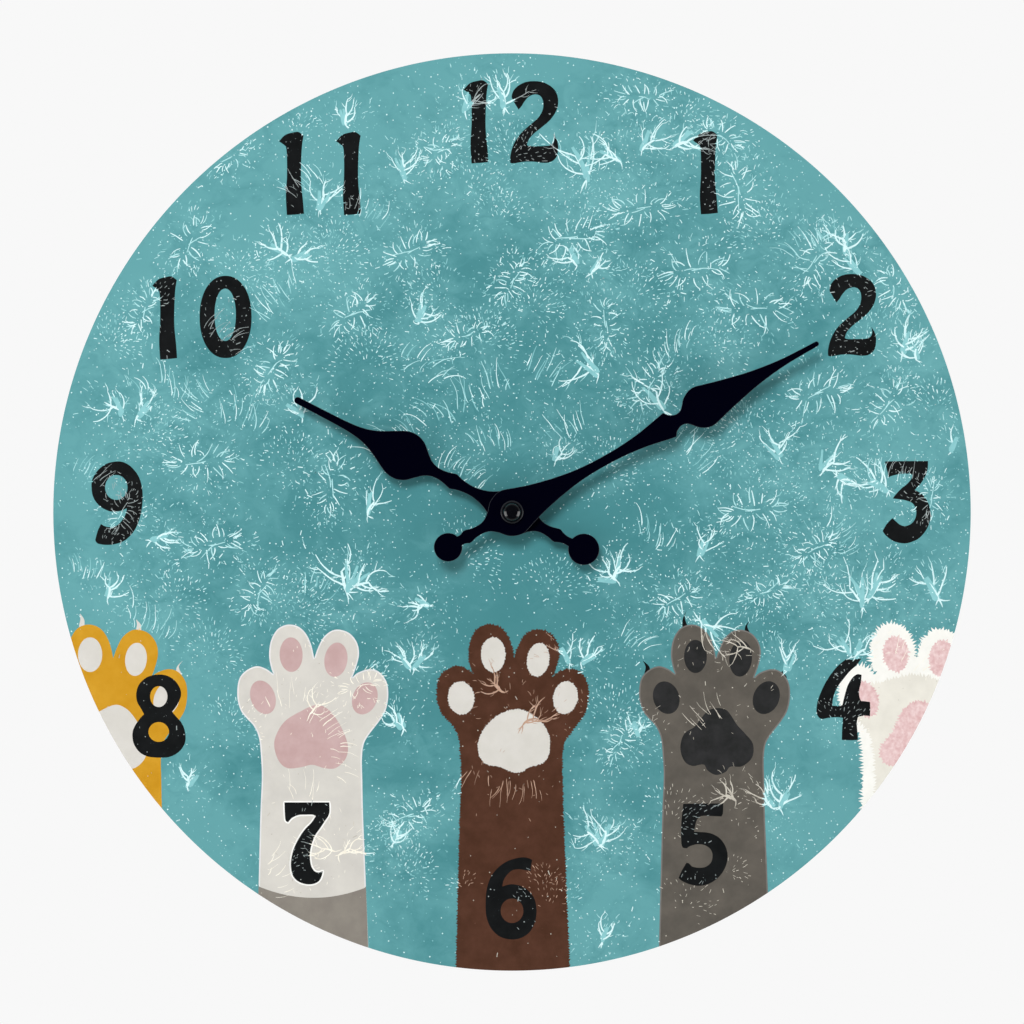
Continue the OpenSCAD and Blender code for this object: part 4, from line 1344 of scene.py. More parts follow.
@dataclass
class FrostPrint:
    """White strokes screened over the finished print, a hundredth of a millimetre proud of it."""

    seed: int = 11
    proud_mm: float = 0.012
    frosts: tuple[Finish, ...] = (FROST, FROST_MID, FROST_FAINT)
    rim_mm: float = 126.2
    hub_mm: float = 8.0

    def __post_init__(self) -> None:
        """Starts with no strokes drawn."""
        self.rng = random.Random(self.seed)
        self.verts: list[Vector] = []
        self.faces: list[list[int]] = []
        self.slots: list[int] = []
        self.inks: list[Finish] = [*self.frosts, *dict.fromkeys(p.strokes for p in PAWS), ASH]
        self.furs = [(paw.body(), self.inks.index(paw.strokes)) for paw in PAWS]
        self.digits = [anticlockwise(moved(Glyphs.of(d)[0], x, z)) for d, x, z in DIGITS]

    def slot_at(self, x: float, z: float, tone: Tone) -> tuple[int, float]:
        """The ink that a stroke has at a place on the dial.

        Args:
            x: The place.
            z: Its height.
            tone: How strongly the stroke is printed on the wash.

        Returns:
            The ink's number, and the share of its width that the stroke prints there.
        """
        if any(inside(x, z, digit) for digit in self.digits
               if abs(digit[0][0] - x) < 25 and abs(digit[0][1] - z) < 25):
            return len(self.inks) - 1, 0.6
        if z < -28:
            for body, slot in self.furs:
                if inside(x, z, body):
                    return slot, (0.8, 0.55, 0.0)[tone.value]
        return tone.value, 1.0

    def stroke(self, start: Point, heading: float, length: float, width: float, bend: float = 0.0,
               tone: Tone = Tone.STRONG, blunt: float = 0.25) -> list[tuple[Point, float]]:
        """Draws one tapered stroke that wanders a little.

        Args:
            start: Its thick end.
            heading: Its first direction, in degrees.
            length: Its length in millimetres.
            width: Its width at the thick end.
            bend: How far it turns over its length, in degrees.
            tone: How strongly it is printed.
            blunt: Its width at the thin end, as a share of the thick end's.

        Returns:
            Its points and headings, for side strokes to leave from.
        """
        steps = max(2, round(length / 0.8))
        x, z = start
        path = [((x, z), heading)]
        for _ in range(steps):
            heading += bend / steps + self.rng.uniform(-7, 7)
            x, z = off((x, z), heading, length / steps)
            path.append(((x, z), heading))
        if any(not self.hub_mm < math.hypot(px, pz) < self.rim_mm for (px, pz), _ in path):
            return []
        front = PRINT_MM + self.proud_mm * self.rng.uniform(0.7, 1.3)
        first = len(self.verts)
        inks = [self.slot_at(px, pz, tone) for (px, pz), _ in path]
        if not all(share for _, share in inks):
            return path
        for i, ((px, pz), turn) in enumerate(path):
            share = i / (len(path) - 1)
            half = 0.5 * width * (1 - (1 - blunt) * share ** 1.3) * (0.55 if i == 0 else 1.0)
            half *= self.rng.uniform(0.85, 1.12) * inks[i][1]
            nx, nz = -math.sin(math.radians(turn)) * half, math.cos(math.radians(turn)) * half
            self.verts += [in_row(px - nx, pz - nz, front), in_row(px + nx, pz + nz, front)]
        for i in range(len(path) - 1):
            a = first + 2 * i
            self.faces.append([a, a + 2, a + 3, a + 1])
            self.slots.append(inks[i][0])
        return path

    def around(self, figure: Figure, near: float, far: float, count: int) -> None:
        """Scatters short dashes round a figure, all pointing away from its middle.

        Args:
            figure: The figure.
            near: Where they begin, as a share of its reach.
            far: Where they end.
            count: How many there are.
        """
        rng = self.rng
        for _ in range(count):
            turn = rng.uniform(0, 360)
            reach = figure.reach * rng.uniform(near, far)
            place = off((figure.x, figure.z), turn, reach, 0.75)
            self.stroke(place, turn + rng.uniform(-35, 35), rng.uniform(0.35, 1.1),
                        rng.uniform(0.18, 0.3), 0, rng.choice((Tone.MIDDLE, Tone.FAINT)), 0.7)

    def antler(self, figure: Figure) -> None:
        """A stout stem that forks into curved branches with twigs."""
        rng, reach, heading = self.rng, figure.reach, figure.heading
        start, weight = (figure.x, figure.z), rng.uniform(0.75, 1.1)
        for _ in range(2):
            self.stroke((figure.x + rng.uniform(-0.7, 0.7), figure.z + rng.uniform(-0.7, 0.7)),
                        heading + rng.uniform(-15, 15), reach * 0.5, rng.uniform(1.0, 1.7), 0,
                        Tone.FAINT, 0.5)
        stem = self.stroke(start, heading, reach * 0.36, 0.85 * weight, rng.uniform(-50, 50),
                           blunt=0.7)
        if not stem:
            return
        for _ in range(rng.randint(1, 3)):
            self.stroke(start, heading + 180 + rng.uniform(-60, 60), reach * rng.uniform(0.1, 0.25),
                        0.5 * weight, rng.uniform(-40, 40))
        count = rng.randint(4, 6)
        for k in range(count):
            fork, turn = stem[min(len(stem) - 1, 1 + k * len(stem) // count)]
            spread = (1 if k % 2 else -1) * rng.uniform(30, 95)
            branch = self.stroke(fork, turn + spread, reach * rng.uniform(0.35, 0.72),
                                 0.54 * weight, -spread * rng.uniform(0.4, 1.3), blunt=0.45)
            for _ in range(rng.randint(2, 4)):
                if len(branch) < 3:
                    break
                bud, lean = branch[rng.randint(1, len(branch) - 1)]
                twig = rng.choice((-1, 1)) * rng.uniform(25, 70)
                self.stroke(bud, lean + twig, reach * rng.uniform(0.1, 0.24), 0.3 * weight,
                            -twig * rng.uniform(0.2, 1.2), rng.choice((Tone.STRONG, Tone.MIDDLE)))
        for _ in range(rng.randint(8, 14)):
            turn = heading + rng.uniform(-75, 75)
            away = reach * rng.uniform(0.5, 1.1)
            self.stroke(off(start, turn, away), turn + rng.uniform(-30, 30),
                        rng.uniform(0.6, 1.8), rng.uniform(0.2, 0.32), rng.uniform(-30, 30),
                        Tone.MIDDLE, 0.5)
        self.around(figure, 0.5, 1.2, 12)

    def lichen(self, figure: Figure) -> None:
        """Short hairs all round a short spine, in an oval with a ragged border of dashes."""
        rng, reach = self.rng, figure.reach
        flat = rng.uniform(0.55, 0.75)
        for side in (-1, 1):
            self.stroke(figure.at(-0.1 * side * reach, 0), figure.heading + 90 - 90 * side
                        + rng.uniform(-20, 20), reach * rng.uniform(0.3, 0.6), 0.34,
                        rng.uniform(-40, 40), Tone.MIDDLE, 0.6)
        count = rng.randint(20, 27)
        for k in range(count):
            angle = 2 * math.pi * (k + rng.uniform(-0.3, 0.3)) / count
            u, v = math.cos(angle), math.sin(angle)
            near = figure.at(reach * 0.5 * u, reach * 0.1 * v)
            far = figure.at(reach * u, reach * flat * v)
            span = math.dist(near, far)
            aim = math.degrees(math.atan2(far[1] - near[1], far[0] - near[0]))
            skip = rng.uniform(-0.05, 0.14)
            start = (near[0] + (far[0] - near[0]) * skip, near[1] + (far[1] - near[1]) * skip)
            hair = self.stroke(start, aim + rng.uniform(-22, 22), span * rng.uniform(0.4, 0.72),
                               rng.uniform(0.28, 0.42), rng.uniform(-70, 70),
                               rng.choice((Tone.STRONG, Tone.STRONG, Tone.MIDDLE)), 0.5)
            if len(hair) > 3 and rng.random() < 0.35:
                middle, lean = hair[len(hair) // 2]
                self.stroke(middle, lean + rng.choice((-45, 45)), span * 0.22, 0.25, 0,
                            Tone.MIDDLE)
        for k in range(rng.randint(44, 60)):
            angle = rng.uniform(0, 2 * math.pi)
            ring = rng.uniform(0.72, 1.12)
            px, pz = figure.at(reach * ring * math.cos(angle),
                               reach * flat * ring * math.sin(angle))
            aim = math.degrees(math.atan2(pz - figure.z, px - figure.x))
            self.stroke((px, pz), aim + rng.uniform(-30, 30), rng.uniform(0.4, 1.5),
                        rng.uniform(0.2, 0.32), rng.uniform(-40, 40),
                        (Tone.STRONG, Tone.MIDDLE, Tone.FAINT)[k % 3], 0.6)
        self.around(figure, 0.95, 1.35, 18)

    def comb(self, figure: Figure) -> None:
        """Thin curved hairs side by side."""
        rng, reach = self.rng, figure.reach
        bend = rng.uniform(-45, 45)
        count = rng.randint(9, 14)
        for k in range(count):
            across = (k - count / 2) * reach * 0.1 + rng.uniform(-0.4, 0.4)
            along = rng.uniform(-0.45, 0.0) * reach
            fan = 3.0 * (k - count / 2)
            self.stroke(figure.at(along, across), figure.heading + fan + rng.uniform(-8, 8),
                        reach * rng.uniform(0.25, 0.75), rng.uniform(0.2, 0.36),
                        bend + rng.uniform(-12, 12), rng.choice(tuple(Tone)), 0.4)
        self.around(figure, 0.3, 1.1, 16)

    def spray(self, figure: Figure) -> None:
        """Arcs of dots and dashes one outside the other."""
        rng, reach = self.rng, figure.reach
        for ring in (0.25, 0.45, 0.65, 0.85, 1.05):
            mid, half = figure.heading + rng.uniform(-25, 25), rng.uniform(50, 110)
            count = max(4, round(2 * math.radians(half) * reach * ring / 1.15))
            for k in range(count):
                turn = mid - half + 2 * half * (k + rng.uniform(-0.3, 0.3)) / count
                away = reach * ring * rng.uniform(0.92, 1.08)
                self.stroke(off((figure.x, figure.z), turn, away), turn + rng.uniform(-25, 25),
                            rng.uniform(0.35, 1.2), rng.uniform(0.2, 0.32), 0,
                            rng.choice(tuple(Tone)), 0.7)

    def build(self) -> bpy.types.Object:
        """Draws every figure and makes the piece.

        Returns:
            The piece.
        """
        draw = {Motif.ANTLER: self.antler, Motif.LICHEN: self.lichen, Motif.COMB: self.comb,
                Motif.SPRAY: self.spray}
        for figure in FIGURES:
            draw[figure.kind](figure)
        mesh = bpy.data.meshes.new("frost_strokes")
        mesh.from_pydata(self.verts, [], self.faces)
        piece = new_piece("frost_strokes", mesh, self.inks)
        mesh.polygons.foreach_set("material_index", self.slots)
        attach(piece, "clock_body")
        return piece


@dataclass
class SpeckScatter:
    """Specks and dashes of white ink, scattered over one area of the print by Geometry Nodes."""

    per_cm2: float
    dash_per_cm2: float
    dot_mm: float
    finish: Finish
    seed: int
    clump_mm: float = 16.0
    proud_mm: float = 0.018
    # No speck hangs over the rim or into the middle hole.
    clear_mm: Point = (4.6, 126.7)

    def tree(self) -> bpy.types.NodeTree:
        """Builds the scatter's nodes.

        Returns:
            Their tree, with the scatter's sizes as inputs.
        """
        tree = bpy.data.node_groups.new("speck_scatter", "GeometryNodeTree")
        face = tree.interface
        face.new_socket("Geometry", in_out="INPUT", socket_type="NodeSocketGeometry")
        for name in ("Dots", "Dashes", "Dot Radius", "Clump Scale"):
            face.new_socket(name, in_out="INPUT", socket_type="NodeSocketFloat")
        face.new_socket("Seed", in_out="INPUT", socket_type="NodeSocketInt")
        face.new_socket("Geometry", in_out="OUTPUT", socket_type="NodeSocketGeometry")
        given = add(tree, "NodeGroupInput").outputs
        place = add(tree, "GeometryNodeInputPosition")
        # Specks gather in clumps, and thicken where the frost figures mist the wash.
        clumps = add(tree, NOISE, {"Vector": place, "Scale": given["Clump Scale"], "Detail": 3.0})
        share = add(tree, RANGE, between(clumps, 0.4, 0.66, 0.25))
        haze = add(tree, "GeometryNodeInputNamedAttribute", {"Name": "frost"})
        near = add(tree, MATH, {0: haze, 1: 0.9, 2: 0.3}, operation="MULTIPLY_ADD")
        share = add(tree, MATH, {0: share, 1: near}, operation="MULTIPLY")
        spin = add(
            tree, "FunctionNodeRandomValue", {2: -math.pi, 3: math.pi, "Seed": given["Seed"]}
        )
        facing = add(tree, "ShaderNodeCombineXYZ", {"X": math.pi / 2, "Y": spin})
        turned = add(tree, "FunctionNodeEulerToRotation", {"Euler": facing})
        size = add(tree, "FunctionNodeRandomValue", {2: 0.45, 3: 1.25, "Seed": 3})
        radius = given["Dot Radius"]
        dot = add(tree, "GeometryNodeMeshCircle", {"Vertices": 6, "Radius": radius},
                  fill_type="NGON")
        length, breadth = (
            add(tree, MATH, {0: radius, 1: times}, operation="MULTIPLY") for times in (7.0, 1.25)
        )
        dash = add(tree, "GeometryNodeMeshGrid",
                   {"Size X": length, "Size Y": breadth, "Vertices X": 2, "Vertices Y": 2})
        joined = add(tree, "GeometryNodeJoinGeometry")
        for shape, rate, shift in ((dot, "Dots", 0.0), (dash, "Dashes", 1.0)):
            density = add(tree, MATH, {0: share, 1: given[rate]}, operation="MULTIPLY")
            seed = add(tree, MATH, {0: given["Seed"], 1: shift}, operation="ADD")
            points = add(tree, "GeometryNodeDistributePointsOnFaces",
                         {"Mesh": given["Geometry"], "Density": density, "Seed": seed})
            placed = add(tree, "GeometryNodeInstanceOnPoints",
                         {"Points": points, "Instance": shape, "Rotation": turned, "Scale": size})
            tree.links.new(placed.outputs[0], joined.inputs[0])
        real = add(tree, "GeometryNodeRealizeInstances", {0: joined})
        dressed = add(tree, "GeometryNodeSetMaterial",
                      {"Geometry": real, "Material": self.finish.material()})
        add(tree, "NodeGroupOutput", {0: dressed})
        return tree

    def build(self, name: str, tiles: Iterable[Tile]) -> bpy.types.Object:
        """Scatters over the given triangles of the print.

        Args:
            name: The piece's name.
            tiles: The triangles, in millimetres on the dial.

        Returns:
            The piece, a plain mesh.
        """
        verts, faces = [], []
        for tile in tiles:
            faces.append([len(verts) + k for k in range(3)])
            verts += [in_row(x, z, PRINT_MM + self.proud_mm) for x, z in tile]
        ground = bpy.data.meshes.new(name + "_ground")
        ground.from_pydata(verts, [], faces)
        misted(ground)
        piece = new_piece(name, ground, [])
        tree = self.tree()
        scatter = piece.modifiers.new("scatter", "NODES")
        scatter.node_group = tree
        sockets = {s.name: s.identifier for s in tree.interface.items_tree
                   if s.item_type == "SOCKET" and s.in_out == "INPUT"}
        for socket, value in (
            ("Dots", self.per_cm2 * 1e4), ("Dashes", self.dash_per_cm2 * 1e4),
            ("Dot Radius", self.dot_mm / 2 * MM), ("Clump Scale", 1 / (self.clump_mm * MM)),
            ("Seed", self.seed),
        ):
            scatter[sockets[socket]] = value
        mesh = applied(piece)
        self.trim(mesh)
        mesh.name = name
        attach(piece, "clock_body")
        return piece

    def trim(self, mesh: bpy.types.Mesh) -> None:
        """Drops the specks that hang over the rim or into the middle hole."""
        near, far = (limit * MM for limit in self.clear_mm)
        work = bmesh.new()
        work.from_mesh(mesh)
        over = [v for v in work.verts if not near < math.hypot(v.co.x, v.co.z) < far]
        faces = {f for v in over for f in v.link_faces}
        bmesh.ops.delete(work, geom=list(faces), context="FACES")
        work.to_mesh(mesh)
        work.free()


# ---------------------------------------------------------------- hands and cap


@dataclass(frozen=True)
class LeafHand:
    """A pressed leaf hand with a ball counterweight, drawn along its length."""

    name: str
    node: str
    body: str
    clock_deg: float
    back_mm: float
    # Middle and radius of the ball; end and radius of the tip.
    ball: Point
    tip: Point
    runs: tuple[Run, ...]
    bore_mm: float
    bevel_mm: float = 0.09

    def side(self) -> list[Point]:
        """The hand's upper side.

        Returns:
            Its points from ball to tip, as (along, half width).
        """
        bx, br = self.ball
        tx, tr = self.tip
        neck = math.asin(self.runs[0][0][1] / br)
        line = [(bx + br * math.cos(a), br * math.sin(a))
                for a in (math.pi + (neck - math.pi) * i / 36 for i in range(36))]
        for run in self.runs:
            line += smooth(run, 6) + [run[-1]]
        line += [(tx - tr + tr * math.cos(a), tr * math.sin(a))
                 for a in (math.pi / 2 * (1 - i / 8) for i in range(1, 9))]
        return line

    def build(self) -> bpy.types.Object:
        """Presses the hand from its outline and breaks its edges.

        Returns:
            The piece.
        """
        side = self.side()
        line = side + [(x, -w) for x, w in side[-2:0:-1]]
        turn = math.radians(90 - self.clock_deg)
        c, s = math.cos(turn), math.sin(turn)
        placed = anticlockwise([(x * c - w * s, x * s + w * c) for x, w in line])
        bore = oval(0, 0, self.bore_mm, self.bore_mm, count=48)
        front_mm = self.back_mm + HAND_SHEET_MM
        levels = (
            (placed, self.back_mm), (placed, front_mm - self.bevel_mm),
            (grown(placed, -self.bevel_mm), front_mm), (bore, self.back_mm), (bore, front_mm),
        )
        work = bmesh.new()
        back, edge, front, bore_back, bore_front = (
            [work.verts.new(in_row(x, z, at_mm)) for x, z in ring] for ring, at_mm in levels
        )
        # Slot 1, on the walls and the bevel, is the lighter grey of the painted highlight along the
        # hand's edge.
        for low, high in ((back, edge), (edge, front), (bore_front, bore_back)):
            wall(work, low, high, 1)
        loops = [list(range(len(placed))),
                 list(range(len(placed), len(placed) + len(bore)))]
        for both in ([*back, *bore_back], [*front, *bore_front]):
            flat = [Vector((v.co.x, v.co.z)) for v in both]
            _, _, tiles, origin, _, owners = delaunay_2d_cdt(flat, [], loops, 1, 1e-9)
            for tile, owner in zip(tiles, owners, strict=True):
                if 0 in owner and 1 not in owner:
                    work.faces.new([both[origin[k][0]] for k in tile])
        piece = new_piece(self.name, meshed(work, self.name), [HAND_BLACK, HAND_EDGE_HIGHLIGHT])
        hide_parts(self.node)
        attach(piece, self.body)
        return piece


MINUTE_LEAF = LeafHand(
    "leaf_minute_hand", "minute_hand", "minute", 61.1, MINUTE_HAND_MM, (-20.0, 3.9), (96.0, 0.7),
    (
        ((-16.4, 1.4), (-15.4, 1.4), (-14.3, 1.9)),
        ((-13.4, 1.85), (-11.8, 1.4), (-9.4, 1.35), (-7.6, 1.9), (-5.8, 3.3)),
        ((-5.6, 3.5), (-4, 5.25), (-2, 6.3), (0, 6.6), (2, 6.1), (4, 5.4), (8, 4.15), (14, 2.75),
         (21, 1.65), (28, 1.3), (35, 1.5), (41, 2.15), (46, 3.1), (49.3, 3.75)),
        ((49.6, 3.5), (50.4, 2.5), (52, 1.75), (53.6, 1.95), (54.8, 3), (56, 4.4), (58, 5.6),
         (60.2, 5.9), (63, 5.2), (68, 3.9), (76, 2.15), (84, 1.1), (90, 0.8), (95.3, 0.7)),
    ),
    1.72,
)
HOUR_LEAF = LeafHand(
    "leaf_hour_hand", "hour_hand", "hour", 297.5, HOUR_HAND_MM, (-22.25, 4.3), (67.4, 0.95),
    (
        ((-18.1, 1.2), (-16.6, 1.15), (-15.2, 1.5), (-14.2, 1.95)),
        ((-13.4, 1.9), (-11.8, 1.5), (-9.6, 1.4), (-7.8, 1.9), (-6.2, 3)),
        ((-6, 3.3), (-4, 5.1), (-2, 6.1), (0, 6.4), (2, 5.9), (4, 4.7), (6, 3.3), (8.5, 2.1),
         (11.5, 1.4), (14, 1.35), (16.4, 1.7), (18.2, 2.25)),
        ((18.8, 2.1), (20.8, 1.6), (22.6, 1.4), (24.4, 1.6), (26.2, 2.4), (28, 3.9), (30, 5.7),
         (32, 6.6), (34, 6.8), (36.2, 6.3), (38.4, 5.2), (41, 3.75), (44, 2.4), (47, 1.6),
         (51, 1.15), (58, 1), (66.45, 0.95)),
    ),
    2.57,
)


@dataclass
class CapNut:
    """The domed nut over the minute hand: a thin ring round a glossy dome."""

    radius_mm: float = 3.1
    dome_mm: float = 2.62
    height_mm: float = 3.1
    back_mm: float = MINUTE_HAND_MM + HAND_SHEET_MM
    bore_mm: float = 1.42
    bore_depth_mm: float = 2.4
    ring_mm: float = 0.95
    # A power below one squares the dome's shoulder.
    shoulder: float = 0.67

    def build(self) -> bpy.types.Object:
        """Turns the nut, blind at its front.

        Returns:
            The piece.
        """
        r, back, foot = self.radius_mm, self.back_mm, self.back_mm + self.ring_mm - 0.1
        bore = [(0.0, back + self.bore_depth_mm), (self.bore_mm, back + self.bore_depth_mm),
                (self.bore_mm, back)]
        ring = [(r - 0.1, back), (r, back + 0.1), (r, back + self.ring_mm - 0.18),
                (r - 0.18, back + self.ring_mm), (self.dome_mm + 0.06, foot)]
        rise = back + self.height_mm - foot
        dome = [(self.dome_mm * math.cos(a) ** self.shoulder,
                 foot + rise * math.sin(a) ** self.shoulder)
                for a in (math.pi / 2 * i / 14 for i in range(14))]
        # The ring's bands take the lighter grey of the painted highlight round the rim.
        piece = lathe(
            "domed_cap_nut", [*bore, *ring, *dome, (0.0, back + self.height_mm)],
            [CAP_GLOSS, CAP_RING_HIGHLIGHT], [0, 0, 0, 1, 1, 1, 1] + [0] * 16, 72,
        )
        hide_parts("cap_nut")
        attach(piece, "minute")
        return piece


# ---------------------------------------------------------------- board and movement


@dataclass
class DialBoard:
    """The fibreboard disc, with its edge lightly sanded."""

    radius_mm: float = DIAL_RADIUS_MM
    back_mm: float = 18.0
    front_mm: float = 22.0
    hole_mm: float = STEM_HOLE_MM
    sanded_mm: float = 0.35

    def build(self) -> bpy.types.Object:
        """Turns the disc, a hair smaller than the film so that the film's edge shows.

        Returns:
            The piece.
        """
        r, s = self.radius_mm - 0.03, self.sanded_mm
        profile = [(self.hole_mm, self.front_mm), (r, self.front_mm), (r, self.back_mm + s),
                   (r - 0.3 * s, self.back_mm + 0.3 * s), (r - s, self.back_mm),
                   (self.hole_mm, self.back_mm)]
        piece = lathe("fibreboard_disc", profile, [BOARD], segments=360)
        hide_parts("dial_board")
        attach(piece, "clock_body")
        return piece


@dataclass
class Cell:
    """The AA cell that powers the clock, lying across the movement with its nub to the right."""

    left_mm: float = -24.9
    length_mm: float = 49.2
    z_mm: float = -25.25
    front_mm: float = 7.9
    radius_mm: float = 7.1

    def build(self) -> bpy.types.Object:
        """Turns the cell: base plate, shrink sleeve with its grey band, crimp, ring and nub.

        Returns:
            The piece.
        """
        r, n = self.radius_mm, self.length_mm
        plate = [(0, 0), (4.6, 0), (4.8, 0.25), (6.2, 0.25), (6.5, 0.05), (r - 0.15, 0.05)]
        sleeve = [(r, 0.3), (r, n - 11), (r, n - 10.9), (r, n - 0.6), (r - 0.25, n - 0.2),
                  (r - 0.9, n - 0.1)]
        nub = [(6.0, n - 0.35), (4.2, n - 0.35), (4.0, n - 0.1), (2.75, n - 0.05),
               (2.65, n + 0.2), (2.65, n + 1.05), (2.4, n + 1.3), (0, n + 1.3)]
        bands = [2, 2, 2, 2, 0, 0, 0, 1, 1, 1, 1, 1, 2, 2, 2, 2, 2, 2, 2]
        piece = lathe("aa_cell", [*plate, *sleeve, *nub], [SLEEVE_BLUE, SLEEVE_GREY, NICKEL],
                      bands, 72)
        for vert in piece.data.vertices:
            along, up = -vert.co.y / MM, vert.co.z / MM
            vert.co = in_row(self.left_mm + along, self.z_mm + up, self.front_mm - vert.co.x / MM)
        piece.data.update()
        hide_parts("battery")
        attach(piece, "cell")
        return piece


@dataclass
class MouldedMarks:
    """Raised marks on the movement's rear: the knob's turning arrow and the cell's poles."""

    knob: Point = (-8.31, 4.8)
    arrow_mm: float = 9.6
    width_mm: float = 0.55
    proud_mm: float = 0.03
    rooted_mm: float = 0.1

    def ribbon(self, work: bmesh.types.BMesh, line: Sequence[Point]) -> None:
        """Adds a raised ribbon along a line.

        Args:
            work: The bmesh that gets it.
            line: The line's points on the cover.
        """
        half = self.width_mm / 2
        left, right = [], []
        for i, (x, z) in enumerate(line):
            (ax, az), (bx, bz) = line[max(i - 1, 0)], line[min(i + 1, len(line) - 1)]
            size = math.hypot(bx - ax, bz - az)
            nx, nz = -(bz - az) / size * half, (bx - ax) / size * half
            left.append((x + nx, z + nz))
            right.append((x - nx, z - nz))
        self.plate(work, anticlockwise(left + right[::-1]))

    def plate(self, work: bmesh.types.BMesh, line: Sequence[Point]) -> None:
        """Adds a raised plate, rooted in the cover.

        Args:
            work: The bmesh that gets it.
            line: Its anticlockwise outline on the cover.
        """
        near = [work.verts.new(in_row(x, z, self.rooted_mm)) for x, z in line]
        far = [work.verts.new(in_row(x, z, -self.proud_mm)) for x, z in line]
        wall(work, near, far)
        work.faces.new(far)
        work.faces.new(near[::-1])

    def build(self) -> bpy.types.Object:
        """Makes the arrow and the marks as one piece on the rear cover and case.

        Returns:
            The piece.
        """
        work = bmesh.new()
        arc = [off(self.knob, a, self.arrow_mm) for a in range(30, 151, 6)]
        self.ribbon(work, arc)
        ex, ez = arc[0]
        self.plate(work, anticlockwise(
            [(ex - 1.3, ez + 0.5), (ex + 1.2, ez + 0.1), (ex + 0.4, ez - 2.1)]))
        # The cell's poles: a plus over the nub and a minus over the base.
        self.plate(work, [(19.4, -14.9), (20.6, -14.9), (20.6, -16.1), (21.2, -16.1), (21.2, -14.9),
                          (22.4, -14.9), (22.4, -14.3), (21.2, -14.3), (21.2, -13.1),
                          (20.6, -13.1), (20.6, -14.3), (19.4, -14.3)])
        self.ribbon(work, [(-22.4, -14.6), (-19.4, -14.6)])
        piece = new_piece("moulded_marks", meshed(work, "moulded_marks"), [ABS_GLOSS])
        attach(piece, "clock_body")
        return piece


@dataclass
class Movement:
    """The quartz movement: its shells with broken edges, and a finish for every inner part."""

    # Node, its piece's name, finish, broken edge in millimetres, body and slot.
    SHELLS: ClassVar[tuple[tuple[str, str, Finish, float, str, str], ...]] = (
        ("front_case", "moulded_front_case", ABS_BLACK, 0.25, "clock_body", "black_abs"),
        ("rear_cover", "moulded_rear_cover", ABS_BLACK, 0.18, "clock_body", "black_abs"),
        ("hanger_plate", "pressed_hanger", ZINC_STEEL, 0.12, "clock_body", "zinc_steel"),
        ("setting_knob", "ribbed_setting_knob", ABS_BLACK, 0.1, "setting", "black_abs"),
        ("stem_nut", "chamfered_stem_nut", BRASS, 0.25, "clock_body", "brass"),
        ("threaded_stem", "turned_stem", BRASS, 0.12, "clock_body", "brass"),
        ("stem_washer", "pressed_stem_washer", BRASS, 0.08, "clock_body", "brass"),
        ("rubber_washer", "moulded_rubber_washer", RUBBER, 0.15, "clock_body", "black_rubber"),
        # The collet takes the same grey as the hands' painted-highlight edges.
        ("hour_hand_collet", "pressed_collet", HAND_EDGE_HIGHLIGHT, 0.1, "hour", "black_hand"),
    )
    # The CAD nodes that show as they are, by finish.
    INNER: ClassVar[dict[Finish, tuple[str, ...]]] = {
        ABS_IVORY: ("train_plate", "coil_bobbin"),
        ZINC_STEEL: ("plate_screws", "stator_screws"),
        STEEL_PIN: ("intermediate_pin", "quartz_crystal", "third_arbor", "seconds_arbor"),
        SOLDER_MASK: ("circuit_board",),
        EPOXY: ("clock_chip",),
        COPPER: ("coil_winding",),
        SOFT_IRON: ("coil_core", "stator"),
        NICKEL: ("contact_positive", "contact_negative", "clutch_spring"),
        ACETAL: ("hour_wheel", "centre_wheel", "third_wheel", "seconds_wheel",
                 "intermediate_wheel", "rotor_pinion", "setting_wheel"),
        BRASS: ("minute_arbor", "clutch_collar"),
        FERRITE: ("rotor_magnet",),
    }

    def build(self) -> list[bpy.types.Object]:
        """Dresses every part of the movement.

        Returns:
            The new pieces and the dressed nodes.
        """
        pieces = []
        for node, name, finish, width_mm, body, slot in self.SHELLS:
            piece = softened(name, node, finish, width_mm)
            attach(piece, body)
            pieces.append(piece)
        for finish, nodes in self.INNER.items():
            for node in nodes:
                dressed = bpy.data.objects[node]
                dressed.data.materials.clear()
                dressed.data.materials.append(finish.material())
                pieces.append(dressed)
        return pieces


# ---------------------------------------------------------------- studio


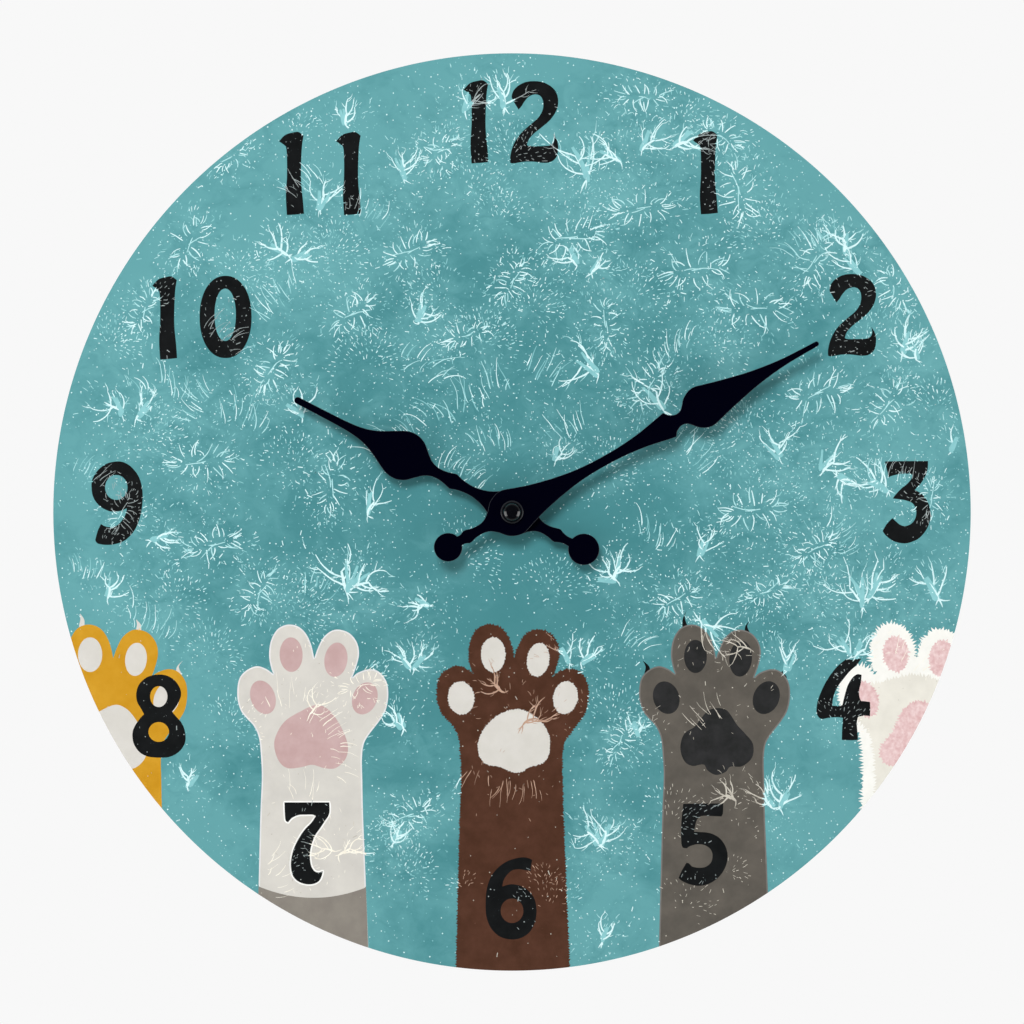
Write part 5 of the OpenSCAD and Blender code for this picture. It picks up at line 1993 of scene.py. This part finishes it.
@dataclass
class Studio:
    """A pale studio: camera square to the dial, a soft key from the upper left, soft fill."""

    lens_mm: float = 90.0
    sensor_mm: float = 36.0
    frame_mm: float = 283.5
    backdrop: str = "f8f8f8"
    fill: float = 0.26
    key_watts: float = 13.2
    side_watts: float = 3.2
    rear_watts: float = 15.0
    floor_m: float = -0.45

    def camera(self) -> None:
        """Sets the camera so that the dial fills nine tenths of the view."""
        data = bpy.data.cameras.new("camera")
        data.lens = self.lens_mm
        data.sensor_width = self.sensor_mm
        data.clip_start, data.clip_end = 0.01, 20.0
        camera = bpy.data.objects.new("camera", data)
        away = self.frame_mm * self.lens_mm / self.sensor_mm + PRINT_MM
        camera.location = (0.0, -away * MM, 0.0)
        camera.rotation_euler = (math.pi / 2, 0.0, 0.0)
        bpy.context.scene.collection.objects.link(camera)
        bpy.context.scene.camera = camera

    def lamp(self, name: str, place: Vector, aim: Vector, size: Point, watts: float) -> None:
        """Hangs a rectangular softbox; the key is polarised, so that it leaves no glare.

        Args:
            name: The lamp's name.
            place: Where it hangs, in metres.
            aim: The point that it faces.
            size: Its width and height in metres.
            watts: Its power.
        """
        data = bpy.data.lights.new(name, "AREA")
        data.shape = "RECTANGLE"
        data.size, data.size_y = size
        data.energy = watts
        lamp = bpy.data.objects.new(name, data)
        lamp.location = place
        lamp.rotation_euler = (aim - place).to_track_quat("-Z", "Y").to_euler()
        lamp.visible_glossy = name != "key"
        bpy.context.scene.collection.objects.link(lamp)

    def surroundings(self) -> None:
        """A near-white backdrop to the eye, dim even fill, and a black flag by the camera."""
        world = bpy.data.worlds.new("studio")
        bpy.context.scene.world = world
        world.use_nodes = True
        tree = world.node_tree
        tree.nodes.clear()
        rays = add(tree, "ShaderNodeLightPath").outputs
        towards = add(tree, "ShaderNodeTexCoord").outputs["Generated"]
        facing = add(tree, VECTOR_MATH, {0: towards, 1: (0, -1, 0)}, operation="DOT_PRODUCT")
        flag = add(tree, RANGE, between(facing, 0.05, 0.6, 0.0, 0.94))
        flagged = add(tree, MATH, {0: flag, 1: rays["Is Glossy Ray"]}, operation="MULTIPLY")
        strength = add(tree, MATH, {0: flagged, 1: -self.fill, 2: self.fill},
                       operation="MULTIPLY_ADD")
        shown = add(tree, "ShaderNodeBackground", {"Color": linear(self.backdrop), "Strength": 1.0})
        lit = add(tree, "ShaderNodeBackground", {"Color": (1, 1, 1, 1), "Strength": strength})
        both = add(tree, "ShaderNodeMixShader", {0: rays["Is Camera Ray"], 1: lit, 2: shown})
        add(tree, "ShaderNodeOutputWorld", {"Surface": both})
        bpy.context.scene.view_settings.view_transform = "Standard"

    def floor(self) -> None:
        """A pale round floor well below the clock."""
        work = bmesh.new()
        bmesh.ops.create_circle(work, cap_ends=True, radius=0.8, segments=96)
        bmesh.ops.translate(work, verts=work.verts, vec=(0, 0, self.floor_m))
        mesh = bpy.data.meshes.new("floor")
        work.to_mesh(mesh)
        work.free()
        floor = new_piece("floor", mesh, [FILM])
        floor.visible_glossy = False

    def build(self) -> None:
        """Sets up the whole studio."""
        self.camera()
        self.surroundings()
        self.floor()
        dial, middle = Vector((0, -PRINT_MM * MM, 0)), Vector((0, 0, 0))
        self.lamp("key", Vector((-0.22, -1.2, 0.56)), dial, (0.42, 0.42), self.key_watts)
        for name, side in (("left_box", -1), ("right_box", 1)):
            self.lamp(name, Vector((side * 0.75, -0.45, -0.22)), Vector((0, -0.3, 0)), (0.9, 0.6),
                      self.side_watts)
        self.lamp("rear_box", Vector((0.6, 1.0, 0.6)), middle, (0.5, 0.5), self.rear_watts)


# ---------------------------------------------------------------- the whole clock


def report(piece: bpy.types.Object) -> None:
    """Logs a finished piece."""
    LOG.info("%s has %d faces", piece.name, len(piece.data.polygons))


def main() -> None:
    """Builds the clock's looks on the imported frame."""
    logging.basicConfig(level=logging.INFO, format="%(message)s")
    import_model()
    Studio().build()
    report(DialBoard().build())
    face, by_ink = PrintedFace().build()
    report(face)
    report(FrostPrint().build())
    teal, black = by_ink[TEAL.name], by_ink[NUMERAL.name]
    furs = [t for ink, tiles in by_ink.items() if "fur" in ink or "sock" in ink for t in tiles]
    for name, tiles, scatter in (
        ("frost_specks", teal, SpeckScatter(34, 1.2, 0.36, FROST, 5)),
        ("frost_dust", teal, SpeckScatter(46, 2.5, 0.34, FROST_FAINT, 21, 28.0)),
        ("fur_specks", furs, SpeckScatter(10, 1.5, 0.3, STONE, 33, 12.0)),
        ("numeral_specks", black, SpeckScatter(26, 3.0, 0.3, ASH, 47, 9.0)),
    ):
        report(scatter.build(name, tiles))
    for maker in (HOUR_LEAF, MINUTE_LEAF, CapNut(), Cell(), MouldedMarks()):
        report(maker.build())
    for piece in Movement().build():
        report(piece)


if __name__ == "__main__":
    main()
